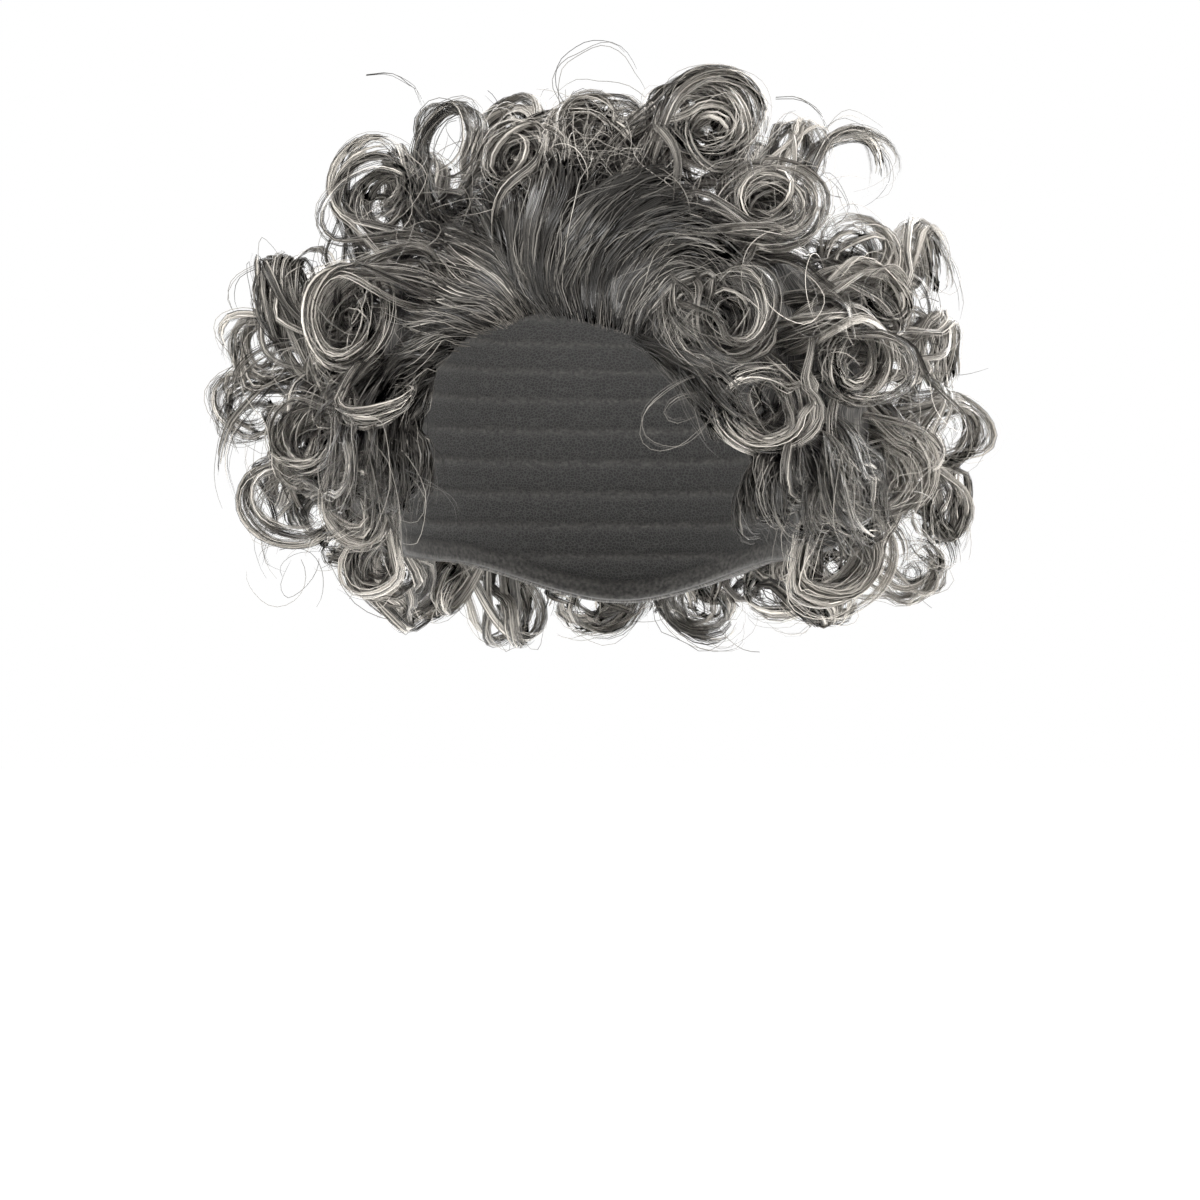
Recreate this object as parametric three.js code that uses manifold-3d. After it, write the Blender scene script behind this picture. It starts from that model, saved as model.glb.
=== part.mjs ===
// A short curly wig: a thin cap shaped to a head, a layer of combed hair over it, and rolled curls
// standing on that layer. Millimetres, +Z up, the wearer faces -Y, and +X is the wearer's left.
// The origin is where the top of the head bears on the inside of the cap.
import * as THREE from "three";
import { mergeVertices } from "three/addons/utils/BufferGeometryUtils.js";
import Module from "manifold-3d";

const wasm = await Module();
wasm.setup();

// The head that the cap fits, as half of each axis of an ellipsoid
const HEAD_HALF_WIDTH = 76;
const HEAD_HALF_DEPTH = 96;
const HEAD_HALF_HEIGHT = 95;
const HEAD_MIDDLE = new THREE.Vector3(0, 0, -HEAD_HALF_HEIGHT);

// Walls and clearances
const CAP_WALL = 1.5;
const PIECE_GAP = 0.5;
const HAIR_INNER = CAP_WALL + PIECE_GAP;
const HEAD_CLEARANCE = 3;
const BELOW_EDGE_REACH = 1.03;
const HAIR_EDGE_DEPTH = 2.5;
const HAIR_ROUNDING_STARTS = 0.72;

// The hairline's highest point lies a little to the wearer's right of the middle.
const HAIRLINE_TURN = -7;

// The cap's edge and the hair's depth, by angle from the middle of the hairline round to the nape
const EDGE = [
  { around: 0, down: 49, hairDepth: 18 },
  { around: 30, down: 51, hairDepth: 20 },
  { around: 50, down: 58, hairDepth: 26 },
  { around: 66, down: 76, hairDepth: 33 },
  { around: 78, down: 96, hairDepth: 37 },
  { around: 92, down: 105, hairDepth: 38 },
  { around: 120, down: 106, hairDepth: 35 },
  { around: 180, down: 116, hairDepth: 31 },
];
const CROWN_HAIR_DEPTH = 28;

// Soft waves that the hair layer bulges in: their height, how many there are round and down, and
// the share of the way down by which they are at full height
const WAVE_HEIGHT = 4;
const WAVES_AROUND = 9;
const WAVES_DOWN = 2;
const WAVES_FULL_FROM = 0.5;

// Facets
const SHELL_COLUMNS = 40;
const SHELL_ROWS = 10;
const CURL_STEPS = 12;
const HEAD_FACETS = [24, 16];

// A curl's hole and rounding, as shares of its outer radius and of its width
const CURL_HOLE = 0.42;
const CURL_SIDE_FLAT = 0.55;

// A curl's stem, which runs down into the hair layer: its thickness as a share of the curl's width
const STEM_TOP = 0.4;
const STEM_FOOT = 0.55;
const STEM_SIDES = 6;

// Curls in millimetres: across, back and up place the centre, radius is the outer one and width is
// along the axis. turn swings the axis from the front towards the wearer's left, and nod raises it.
const RIGHT_CURLS = [
  { across: -92, back: -42, up: -33, radius: 18, width: 16, turn: -28, nod: 0 },
  { across: -83, back: -25, up: 13, radius: 18, width: 16, turn: -20, nod: 12 },
  { across: -55, back: -20, up: 33, radius: 16, width: 15, turn: -35, nod: 10 },
  { across: -31, back: -40, up: 26, radius: 14, width: 15, turn: -12, nod: 20 },
  { across: -114, back: -12, up: -21, radius: 15, width: 16, turn: 78, nod: 5 },
  { across: -127, back: 2, up: -42, radius: 14, width: 14, turn: -12, nod: 0 },
  { across: -131, back: 12, up: -64, radius: 14, width: 14, turn: 10, nod: 8 },
  { across: -80, back: -56, up: -65, radius: 13, width: 13, turn: 0, nod: 72 },
  { across: -70, back: -50, up: -88, radius: 12, width: 13, turn: -25, nod: 0 },
  { across: -108, back: -14, up: -77, radius: 16, width: 15, turn: -30, nod: 15 },
  { across: -116, back: 8, up: -100, radius: 17, width: 13, turn: -8, nod: -6 },
  { across: -83, back: -20, up: -123, radius: 14, width: 16, turn: -20, nod: 0 },
  { across: -92, back: -30, up: -103, radius: 14, width: 14, turn: -40, nod: 10 },
];

const TOP_CURLS = [
  { across: -4, back: -18, up: 36, radius: 14, width: 16, turn: 10, nod: 20 },
  { across: 36, back: -28, up: 39, radius: 22, width: 18, turn: 14, nod: 8 },
  { across: 75, back: -8, up: 31, radius: 13, width: 13, turn: 40, nod: 0 },
  { across: 16, back: 26, up: 36, radius: 17, width: 17, turn: 60, nod: 10 },
  { across: -36, back: 22, up: 34, radius: 18, width: 17, turn: -60, nod: 10 },
  { across: -74, back: 18, up: 16, radius: 17, width: 16, turn: -70, nod: 20 },
  { across: 64, back: 34, up: 22, radius: 17, width: 16, turn: 75, nod: 20 },
];

const LEFT_CURLS = [
  { across: 94, back: 0, up: 24, radius: 18, width: 14, turn: 22, nod: 10 },
  { across: 61, back: -46, up: 9, radius: 18, width: 15, turn: 20, nod: 25 },
  { across: 48, back: -77, up: -36, radius: 17, width: 15, turn: 22, nod: 0 },
  { across: 62, back: -72, up: -69, radius: 18, width: 15, turn: 28, nod: -5 },
  { across: 95, back: -16, up: -11, radius: 14, width: 14, turn: 30, nod: 0 },
  { across: 120, back: 8, up: -11, radius: 15, width: 14, turn: 55, nod: 15 },
  { across: 94, back: -60, up: -50, radius: 17, width: 16, turn: 35, nod: 10 },
  { across: 124, back: 2, up: -45, radius: 16, width: 15, turn: 75, nod: 0 },
  { across: 101, back: -26, up: -93, radius: 19, width: 16, turn: 30, nod: 10 },
  { across: 132, back: 12, up: -74, radius: 14, width: 14, turn: 15, nod: -20 },
  { across: 130, back: 16, up: -103, radius: 15, width: 15, turn: 60, nod: 0 },
  { across: 87, back: -26, up: -124, radius: 20, width: 17, turn: 16, nod: 0 },
  { across: 118, back: 12, up: -126, radius: 12, width: 13, turn: 0, nod: 0 },
  { across: 105, back: -28, up: -25, radius: 14, width: 14, turn: 50, nod: 20 },
];

// Rows of curls round the back of the head. lift is how far a curl's centre stands off the hair
// layer, as a share of its radius, and the turns of the axes are taken one after another.
const BACK_ROWS = [
  { down: 36, from: 140, to: 220, count: 3, radius: 20, width: 20, lift: 0.4 },
  { down: 58, from: 112, to: 248, count: 5, radius: 22, width: 21, lift: 0.4 },
  { down: 84, from: 108, to: 252, count: 7, radius: 21, width: 20, lift: 0.4 },
  { down: 108, from: 116, to: 244, count: 7, radius: 19, width: 18, lift: 0.8 },
];
const BACK_ROLLS = [15, 75, -40, 105, 50];
const BACK_ROLL_STEP = 2;

const HAIR_GREY = new THREE.MeshStandardMaterial({ color: 0x6b6863, roughness: 0.45 });
const CAP_CHARCOAL = new THREE.MeshStandardMaterial({ color: 0x3a3836, roughness: 0.85 });

const radians = THREE.MathUtils.degToRad;

// The head's surface at an angle round from the front and an angle down from the crown
function headPoint(around, down) {
  const a = radians(around);
  const d = radians(down);
  return new THREE.Vector3(
    HEAD_HALF_WIDTH * Math.sin(d) * Math.sin(a),
    -HEAD_HALF_DEPTH * Math.sin(d) * Math.cos(a),
    HEAD_HALF_HEIGHT * (Math.cos(d) - 1),
  );
}

// The direction square to the head there
function headNormal(around, down) {
  const p = headPoint(around, down);
  return new THREE.Vector3(
    p.x / HEAD_HALF_WIDTH ** 2,
    p.y / HEAD_HALF_DEPTH ** 2,
    (p.z + HEAD_HALF_HEIGHT) / HEAD_HALF_HEIGHT ** 2,
  ).normalize();
}

function raised(around, down, height) {
  return headPoint(around, down).addScaledVector(headNormal(around, down), height);
}

// A column of the EDGE table, eased between its rows and the same on both sides of the hairline
function edgeValue(around, column) {
  const turned = THREE.MathUtils.euclideanModulo(around - HAIRLINE_TURN, 360);
  const side = turned > 180 ? 360 - turned : turned;
  const next = Math.max(1, EDGE.findIndex((row) => row.around >= side));
  const [before, after] = [EDGE[next - 1], EDGE[next]];
  const share = THREE.MathUtils.smoothstep(side, before.around, after.around);
  return THREE.MathUtils.lerp(before[column], after[column], share);
}

// Staggered bulges and dents of the hair layer, from -1 to 1 and fading out at the crown
function waveAt(around, downShare) {
  const down = 2 * Math.PI * WAVES_DOWN * downShare;
  const fade = THREE.MathUtils.smoothstep(downShare, 0, WAVES_FULL_FROM);
  return fade * Math.sin(radians(WAVES_AROUND * around) + down / 2) * Math.sin(down);
}

// Depth of the hair layer, full over the crown and rounded off towards the cap's edge
function hairDepth(around, downShare) {
  const full = THREE.MathUtils.lerp(
    CROWN_HAIR_DEPTH,
    edgeValue(around, "hairDepth"),
    THREE.MathUtils.smoothstep(downShare, 0, HAIR_ROUNDING_STARTS),
  );
  const past = THREE.MathUtils.mapLinear(downShare, HAIR_ROUNDING_STARTS, 1, 0, 1);
  const rounding = THREE.MathUtils.clamp(past, 0, 1);
  const bulge = full + WAVE_HEIGHT * waveAt(around, downShare);
  return HAIR_EDGE_DEPTH + (bulge - HAIR_EDGE_DEPTH) * Math.sqrt(1 - rounding ** 2);
}

// A dome of points from the crown to a reach past the cap's edge: the crown, then a ring for each row
function domePoints(heightAt, reach = 1) {
  const points = [raised(0, 0, heightAt(0, 0))];
  for (let row = 1; row <= SHELL_ROWS; row++) {
    const share = row / SHELL_ROWS;
    for (let column = 0; column < SHELL_COLUMNS; column++) {
      const around = (360 * column) / SHELL_COLUMNS;
      const down = share * reach * edgeValue(around, "down");
      points.push(raised(around, down, heightAt(around, share)));
    }
  }
  return points;
}

// Triangles of such a dome, facing out, numbered from a first point
function domeFaces(first) {
  const at = (row, column) => first + 1 + (row - 1) * SHELL_COLUMNS + (column % SHELL_COLUMNS);
  const faces = [];
  for (let column = 0; column < SHELL_COLUMNS; column++) {
    faces.push([first, at(1, column), at(1, column + 1)]);
    for (let row = 1; row < SHELL_ROWS; row++) {
      faces.push([at(row, column), at(row + 1, column), at(row + 1, column + 1)]);
      faces.push([at(row, column), at(row + 1, column + 1), at(row, column + 1)]);
    }
  }
  return faces;
}

function rimPoint(first, column) {
  return first + 1 + (SHELL_ROWS - 1) * SHELL_COLUMNS + (column % SHELL_COLUMNS);
}

function geometryOf(points, faces) {
  const positions = points.flatMap((p) => [p.x, p.y, p.z]);
  return new THREE.BufferGeometry()
    .setAttribute("position", new THREE.Float32BufferAttribute(positions, 3))
    .setIndex(faces.flat());
}

// A wall between two heights above the head, open below where the head goes in
function shellGeometry(outerHeight, innerHeight) {
  const outer = domePoints(outerHeight);
  const inner = domePoints(innerHeight);
  const faces = domeFaces(0);
  faces.push(...domeFaces(outer.length).map(([a, b, c]) => [a, c, b]));
  for (let column = 0; column < SHELL_COLUMNS; column++) {
    const [out, outNext] = [rimPoint(0, column), rimPoint(0, column + 1)];
    const [into, intoNext] = [rimPoint(outer.length, column), rimPoint(outer.length, column + 1)];
    faces.push([out, into, intoNext], [out, intoNext, outNext]);
  }
  return geometryOf([...outer, ...inner], faces);
}

// The hair layer and everything inside it, closed across the head opening
function filledDome(outerHeight, reach) {
  const points = domePoints(outerHeight, reach);
  const faces = domeFaces(0);
  const middle = points.push(HEAD_MIDDLE) - 1;
  for (let column = 0; column < SHELL_COLUMNS; column++) {
    faces.push([rimPoint(0, column), middle, rimPoint(0, column + 1)]);
  }
  return geometryOf(points, faces);
}

function solidOf(geometry) {
  return new wasm.Manifold(
    new wasm.Mesh({
      numProp: 3,
      vertProperties: new Float32Array(geometry.getAttribute("position").array),
      triVerts: new Uint32Array(geometry.index.array),
    }),
  );
}

function geometryFrom(solid) {
  const mesh = solid.getMesh();
  return new THREE.BufferGeometry()
    .setAttribute("position", new THREE.BufferAttribute(mesh.vertProperties, 3))
    .setIndex(new THREE.BufferAttribute(mesh.triVerts, 1));
}

// A rolled lock's outer form: a ring about its axis, with a bulging rim, set in its place
function curlRing({ centre, axis, radius, width }, grown) {
  const outer = radius + grown;
  const inner = radius * CURL_HOLE - grown;
  const half = width / 2 + grown;
  const flat = half * CURL_SIDE_FLAT;
  const middle = (outer + inner) / 2;
  const profile = [
    [inner, -flat],
    [middle, -half],
    [outer, -flat],
    [outer, flat],
    [middle, half],
    [inner, flat],
  ];
  const along = new THREE.Quaternion().setFromUnitVectors(new THREE.Vector3(0, 0, 1), axis);
  const points = [];
  const faces = [];
  for (let step = 0; step < CURL_STEPS; step++) {
    const angle = (2 * Math.PI * step) / CURL_STEPS;
    for (const [r, z] of profile) {
      const local = new THREE.Vector3(r * Math.cos(angle), r * Math.sin(angle), z);
      points.push(local.applyQuaternion(along).add(centre));
    }
    for (let side = 0; side < profile.length; side++) {
      const sideNext = (side + 1) % profile.length;
      const stepNext = (step + 1) % CURL_STEPS;
      const [a, b] = [step * profile.length + side, stepNext * profile.length + side];
      const [c, d] = [stepNext * profile.length + sideNext, step * profile.length + sideNext];
      faces.push([a, b, c], [a, c, d]);
    }
  }
  return solidOf(geometryOf(points, faces));
}

// The stem of a curl: a tapered lock from the side of the ring towards the middle of the head
function curlStem({ centre, radius, width }) {
  const inward = HEAD_MIDDLE.clone().sub(centre);
  const length = inward.length();
  const start = (radius * (1 + CURL_HOLE)) / 2;
  const stem = new THREE.CylinderGeometry(
    width * STEM_TOP,
    width * STEM_FOOT,
    length - start,
    STEM_SIDES,
  );
  const up = inward.normalize().negate();
  stem.applyQuaternion(new THREE.Quaternion().setFromUnitVectors(new THREE.Vector3(0, 1, 0), up));
  const middle = HEAD_MIDDLE.clone().addScaledVector(up, (length - start) / 2);
  stem.translate(...middle);
  return solidOf(mergeVertices(stem.deleteAttribute("normal").deleteAttribute("uv")));
}

// A placed curl from a row of the tables that give its centre
function placedCurl(row) {
  const turn = radians(row.turn);
  const nod = radians(row.nod);
  return {
    ...row,
    centre: new THREE.Vector3(row.across, row.back, row.up),
    axis: new THREE.Vector3(
      Math.cos(nod) * Math.sin(turn),
      -Math.cos(nod) * Math.cos(turn),
      Math.sin(nod),
    ),
  };
}

// The curls of a back row, spread evenly round the head and standing on the hair layer
function backRow(row, rowIndex) {
  return Array.from({ length: row.count }, (_, index) => {
    const around = THREE.MathUtils.lerp(row.from, row.to, index / (row.count - 1));
    const normal = headNormal(around, row.down);
    const depth = hairDepth(around, row.down / edgeValue(around, "down"));
    const height = HAIR_INNER + depth + row.radius * row.lift;
    const level = new THREE.Vector3(0, 0, 1).cross(normal).normalize();
    const roll = BACK_ROLLS[(index + BACK_ROLL_STEP * rowIndex) % BACK_ROLLS.length];
    return {
      ...row,
      centre: raised(around, row.down, height),
      axis: level.applyAxisAngle(normal, radians(roll)),
    };
  });
}

const wig = new THREE.Group();

function addPiece(name, geometry, material) {
  const mesh = new THREE.Mesh(geometry, material);
  mesh.name = name;
  wig.add(mesh);
}

const layerTop = (around, share) => HAIR_INNER + hairDepth(around, share);

addPiece("wig_cap", shellGeometry(() => CAP_WALL, () => 0), CAP_CHARCOAL);
addPiece("combed_hair", shellGeometry(layerTop, () => HAIR_INNER), HAIR_GREY);

// The room that curls keep out of: the head itself, and the combed hair with all that it covers
function headSolid() {
  const ball = new THREE.SphereGeometry(1, ...HEAD_FACETS)
    .rotateX(Math.PI / 2)
    .scale(HEAD_HALF_WIDTH + HEAD_CLEARANCE, HEAD_HALF_DEPTH + HEAD_CLEARANCE, HEAD_HALF_HEIGHT)
    .translate(...HEAD_MIDDLE)
    .deleteAttribute("normal")
    .deleteAttribute("uv");
  return solidOf(mergeVertices(ball));
}

const clearOfLayer = (around, share) => layerTop(around, share) + PIECE_GAP;
let taken = headSolid();
for (const reach of [1, BELOW_EDGE_REACH]) {
  taken = taken.add(solidOf(filledDome(clearOfLayer, reach)));
}

// Each curl gives way to the hair layer, the head and the curls set before it.
function addCurls(side, curls) {
  curls.forEach((curl, index) => {
    const lock = curlRing(curl, 0).add(curlStem(curl));
    const bodies = lock.subtract(taken).decompose();
    const largest = bodies.reduce((best, body) => (body.volume() > best.volume() ? body : best));
    addPiece(`${side}_curl_${index + 1}`, geometryFrom(largest), HAIR_GREY);
    taken = taken.add(curlRing(curl, PIECE_GAP));
  });
}

addCurls("right", RIGHT_CURLS.map(placedCurl));
addCurls("left", LEFT_CURLS.map(placedCurl));
addCurls("top", TOP_CURLS.map(placedCurl));
addCurls("back", BACK_ROWS.flatMap(backRow));

export default wig;
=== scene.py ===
# A short grey curly wig: strands of hair in combed locks and rolled curls over a dark net cap.
# The maths below is in millimetres, in the part's own frame: +Z up, the wearer faces -Y, +X is the
# wearer's left, and the origin is where the top of the head bears on the inside of the cap.
import math
from itertools import count
from types import SimpleNamespace

import bpy
import numpy as np
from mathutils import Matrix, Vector


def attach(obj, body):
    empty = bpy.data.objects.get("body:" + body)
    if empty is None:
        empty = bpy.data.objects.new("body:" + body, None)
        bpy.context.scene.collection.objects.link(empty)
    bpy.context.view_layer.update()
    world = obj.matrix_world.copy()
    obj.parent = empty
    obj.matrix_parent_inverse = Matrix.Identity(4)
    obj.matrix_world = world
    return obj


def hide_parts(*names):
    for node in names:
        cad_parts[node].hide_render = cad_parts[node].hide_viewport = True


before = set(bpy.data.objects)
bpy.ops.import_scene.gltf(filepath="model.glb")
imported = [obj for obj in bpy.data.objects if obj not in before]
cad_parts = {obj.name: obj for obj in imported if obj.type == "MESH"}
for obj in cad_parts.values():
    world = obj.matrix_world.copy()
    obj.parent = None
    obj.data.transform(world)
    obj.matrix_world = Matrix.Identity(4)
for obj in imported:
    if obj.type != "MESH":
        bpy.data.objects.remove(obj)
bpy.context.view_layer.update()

MM = 0.001
BODY = "root"
rng = np.random.default_rng(0)

# The head that the cap fits, and the cap's edge by angle from the hairline's middle to the nape
HEAD_HALF = np.array([76.0, 96.0, 95.0])
HEAD_MIDDLE = np.array([0.0, 0.0, -95.0])
HAIRLINE_TURN = -7.0
EDGE_AROUND = (0, 30, 50, 66, 78, 92, 120, 180)
EDGE_DOWN = (49, 51, 58, 76, 96, 105, 106, 116)
EDGE_DEPTH = (18, 20, 26, 33, 37, 38, 35, 31)
CROWN_DEPTH = 28.0
HAIR_INNER = 2.0
CAP_WALL = 1.5

# The hair is full as far as this share of the way to the cap's edge, then rounds off to this depth
FULL_UNTIL = 0.72
LEAST_DEPTH = 2.5

# The photo's view: its size in pixels, its scale at the middle of the head, and the camera
PHOTO_SIDE = 1200
MM_PER_PIXEL = 0.375
CAMERA_BACK = 1600.0
CAMERA_HEIGHT = -137.0
LENS_MM = 128.0
SENSOR_MM = 36.0


def restart(number):
    """Starts the random numbers again, so that one piece's don't depend on another's."""
    global rng
    rng = np.random.default_rng(number)


def table(columns, *rows):
    """Rows of values, each of which goes by its column's name."""
    return [SimpleNamespace(**dict(zip(columns.split(), row))) for row in rows]


# Places on the head

def unit(vectors):
    vectors = np.asarray(vectors, float)
    return vectors / np.maximum(np.linalg.norm(vectors, axis=-1, keepdims=True), 1e-9)


def smooth(x, low=0.0, high=1.0):
    t = np.clip((np.asarray(x, float) - low) / (high - low), 0, 1)
    return t * t * (3 - 2 * t)


def head_point(around, down):
    """Points on the head at angles round from the front and down from the crown, in degrees."""
    a, d = np.broadcast_arrays(np.radians(around), np.radians(down))
    shape = np.stack([np.sin(d) * np.sin(a), -np.sin(d) * np.cos(a), np.cos(d)], -1)
    return HEAD_MIDDLE + HEAD_HALF * shape


def head_normal(points):
    return unit((points - HEAD_MIDDLE) / HEAD_HALF**2)


def from_hairline(around):
    """Angle from the middle of the hairline, the same to both sides."""
    turned = np.mod(np.asarray(around, float) - HAIRLINE_TURN, 360)
    return np.where(turned > 180, 360 - turned, turned)


def edge_value(around, column):
    """A column of the edge table at an angle round the head."""
    side = from_hairline(around)
    row = np.clip(np.searchsorted(EDGE_AROUND, side), 1, len(EDGE_AROUND) - 1)
    table, values = np.array(EDGE_AROUND), np.array(column, float)
    share = smooth((side - table[row - 1]) / (table[row] - table[row - 1]))
    return values[row - 1] + (values[row] - values[row - 1]) * share


def cap_share(point):
    """How far down from the crown a point lies, as a share of the way to the cap's edge."""
    shape = (point - HEAD_MIDDLE) / HEAD_HALF
    around = math.degrees(math.atan2(shape[0], -shape[1]))
    down = math.degrees(math.acos(shape[2] / np.linalg.norm(shape)))
    return down / edge_value(around, EDGE_DOWN)


def layer_depth(around, share):
    """Depth of the hair layer, full over the crown and rounded off towards the cap's edge."""
    full = CROWN_DEPTH + (edge_value(around, EDGE_DEPTH) - CROWN_DEPTH) * smooth(share, 0, FULL_UNTIL)
    past = np.clip((np.asarray(share, float) - FULL_UNTIL) / (1 - FULL_UNTIL), 0, 1)
    return LEAST_DEPTH + (full - LEAST_DEPTH) * np.sqrt(1 - past**2)


def raised(points, height):
    """Points of the head moved out to a height above it."""
    return points + head_normal(points) * np.asarray(height, float)[..., None]


def raised_to(points, height):
    """Points moved along the line from the head's middle to a height above the head."""
    half = HEAD_HALF + np.asarray(height, float)[..., None]
    away = np.asarray(points, float) - HEAD_MIDDLE
    return HEAD_MIDDLE + away / np.linalg.norm(away / half, axis=-1, keepdims=True)


def kept_off(points, least):
    """Points moved out to at least a height above the head."""
    inside = np.linalg.norm((points - HEAD_MIDDLE) / (HEAD_HALF + least), axis=-1) < 1
    return np.where(inside[:, None], raised_to(points, np.full(len(points), least)), points)


def seen_at(pixels, heights):
    """Points a height above the head that the photo shows at these pixels."""
    pixels = np.asarray(pixels, float)
    eye = np.array([0.0, -CAMERA_BACK, CAMERA_HEIGHT])
    ray = np.stack([
        (pixels[:, 0] - PHOTO_SIDE / 2) * MM_PER_PIXEL,
        np.full(len(pixels), CAMERA_BACK),
        (PHOTO_SIDE / 2 - pixels[:, 1]) * MM_PER_PIXEL,
    ], -1)
    half = HEAD_HALF + np.asarray(heights, float)[:, None]
    start, step = (eye - HEAD_MIDDLE) / half, ray / half
    a = (step**2).sum(1)
    b = (start * step).sum(1)
    c = (start**2).sum(1) - 1
    far = (-b - np.sqrt(np.maximum(b * b - a * c, 0))) / a
    return raised_to(eye + ray * far[:, None], heights)


def wobble(points, size):
    """Smooth random offsets along a path of so many points."""
    t = np.linspace(0, 1, points)[:, None]
    return size * np.sin(2 * math.pi * (t * rng.uniform(0.7, 1.7, 3) + rng.uniform(0, 1, 3)))


def through(points, steps):
    """A smooth path of so many steps through a few given points."""
    points = np.asarray(points, float)
    ends = np.vstack([2 * points[0] - points[1], points, 2 * points[-1] - points[-2]])
    at = np.linspace(0, len(points) - 1, steps)
    leg = np.minimum(at.astype(int), len(points) - 2)
    t = (at - leg)[:, None]
    p0, p1, p2, p3 = (ends[leg + k] for k in range(4))
    bend = (2 * p0 - 5 * p1 + 4 * p2 - p3) * t**2 + (3 * p1 - p0 - 3 * p2 + p3) * t**3
    return 0.5 * (2 * p1 + (p2 - p0) * t + bend)


# Locks: a path with a width and a thickness, which strands then follow

def lock(path, up, width, thick, strands, bundles, shade):
    """One lock of hair: up is square to its flat side, and width and thick are half its sizes."""
    path = np.asarray(path, float)
    along = unit(np.gradient(path, axis=0))
    side = unit(np.cross(along, up))
    return SimpleNamespace(
        path=path, side=side, up=unit(np.cross(side, along)),
        width=np.broadcast_to(width, len(path)), thick=np.broadcast_to(thick, len(path)),
        strands=strands, bundles=bundles, shade=shade,
    )


# Curls, as the part has them: the centre, the outer radius, the width along the axis, and the axis's
# turn from the front and nod upwards. Then how the lock gets there: hand is 1 where it winds
# clockwise seen from the axis's tip, arrives is the side it comes from, in degrees clockwise from
# above, and reach is how far off its root lies. An oval one is stretched along its lean.
CURL_COLUMNS = "across back up radius width turn nod hand arrives reach shade stretch lean"
RIGHT_CURLS = table(
    CURL_COLUMNS,
    (-92, -42, -33, 18, 16, -28, 0, -1, 65, 38, 0.44, 1.15, 15),
    (-83, -25, 13, 18, 16, -20, 12, 1, 130, 32, 0.32, 1.2, 60),
    (-55, -20, 33, 16, 15, -35, 10, 1, 165, 30, 0.26, 1.25, 20),
    (-31, -40, 26, 14, 15, -12, 20, -1, 185, 30, 0.50, 1.2, 75),
    (-114, -12, -21, 15, 16, 78, 5, 1, 120, 32, 0.24, 1.3, 0),
    (-127, 2, -42, 14, 14, -12, 0, -1, 90, 32, 0.48, 1.25, 20),
    (-131, 12, -64, 14, 14, 10, 8, -1, 80, 34, 0.50, 1.3, 90),
    (-80, -56, -65, 13, 13, -25, 48, -1, 270, 36, 0.42, 1.3, 90),
    (-70, -50, -88, 12, 13, -25, 0, 1, 20, 28, 0.45, 1.3, 120),
    (-108, -14, -77, 16, 15, -30, 15, -1, 45, 32, 0.48, 1.2, 40),
    (-116, 8, -100, 17, 13, -8, -6, -1, 55, 36, 0.46, 1.3, 100),
    (-83, -20, -123, 14, 16, -20, 0, 1, 20, 30, 0.48, 1.2, 30),
    (-92, -30, -103, 14, 14, -40, 10, -1, 10, 30, 0.46, 1.2, 150),
)
LEFT_CURLS = table(
    CURL_COLUMNS,
    (94, 0, 24, 18, 14, 22, 10, 1, 225, 36, 0.52, 1.3, 60),
    (61, -46, 9, 18, 15, 20, 25, -1, 290, 36, 0.48, 1.25, 80),
    (48, -77, -36, 17, 15, 22, 0, -1, 330, 36, 0.18, 1.15, 30),
    (57, -72, -68, 17, 15, 26, -5, 1, 305, 36, 0.55, 1.4, 100),
    (95, -16, -11, 14, 14, 30, 0, -1, 270, 32, 0.58, 1.2, 40),
    (120, 8, -11, 15, 14, 55, 15, 1, 225, 34, 0.55, 1.4, 0),
    (94, -60, -50, 17, 16, 35, 10, 1, 300, 32, 0.56, 1.2, 60),
    (124, 2, -45, 16, 15, 75, 0, 1, 300, 34, 0.55, 1.4, 0),
    (101, -26, -93, 19, 16, 30, 10, 1, 300, 36, 0.62, 1.25, 70),
    (132, 12, -74, 14, 14, 15, -20, 1, 280, 34, 0.60, 1.3, 10),
    (130, 16, -103, 15, 15, 60, 0, 1, 310, 34, 0.58, 1.4, 10),
    (84, -26, -121, 20, 17, 16, 0, 1, 330, 36, 0.64, 1.2, 80),
    (118, 12, -126, 12, 13, 0, 0, -1, 330, 32, 0.55, 1.3, 0),
    (105, -28, -25, 14, 14, 50, 20, 1, 300, 30, 0.58, 1.3, 120),
)
TOP_CURLS = table(
    CURL_COLUMNS,
    (-4, -18, 36, 14, 16, 10, 20, 1, 190, 30, 0.70, 1.2, 80),
    (41, -28, 38, 22, 18, 14, 8, 1, 228, 44, 0.64, 1.15, 50),
    (75, -8, 31, 13, 13, 40, 0, 1, 205, 32, 0.60, 1.3, 20),
    (16, 26, 36, 17, 17, 60, 10, -1, 160, 34, 0.66, 1.2, 90),
    (-36, 22, 34, 18, 17, -60, 10, 1, 200, 34, 0.66, 1.2, 60),
    (-74, 18, 16, 17, 16, -70, 20, -1, 150, 34, 0.40, 1.2, 120),
    (64, 34, 22, 17, 16, 75, 20, 1, 200, 34, 0.50, 1.2, 30),
)

# Rows of curls round the back, standing on the hair layer: the angles of each row, then how the axes
# roll from curl to curl and lean outwards, and how far off the roots lie
BACK_ROWS = table(
    "down begins ends count radius width lift",
    (36, 140, 220, 3, 20, 20, 0.4),
    (58, 112, 248, 5, 22, 21, 0.4),
    (84, 108, 252, 7, 21, 20, 0.4),
    (108, 116, 244, 7, 19, 18, 0.8),
)
BACK_ROLLS = (15, 75, -40, 105, 50)
BACK_ROLL_STEP = 2
BACK_OUTWARDS = 0.9
BACK_ARRIVES = 25
BACK_REACH = 1.8
BACK_SHADE = 0.44

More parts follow.
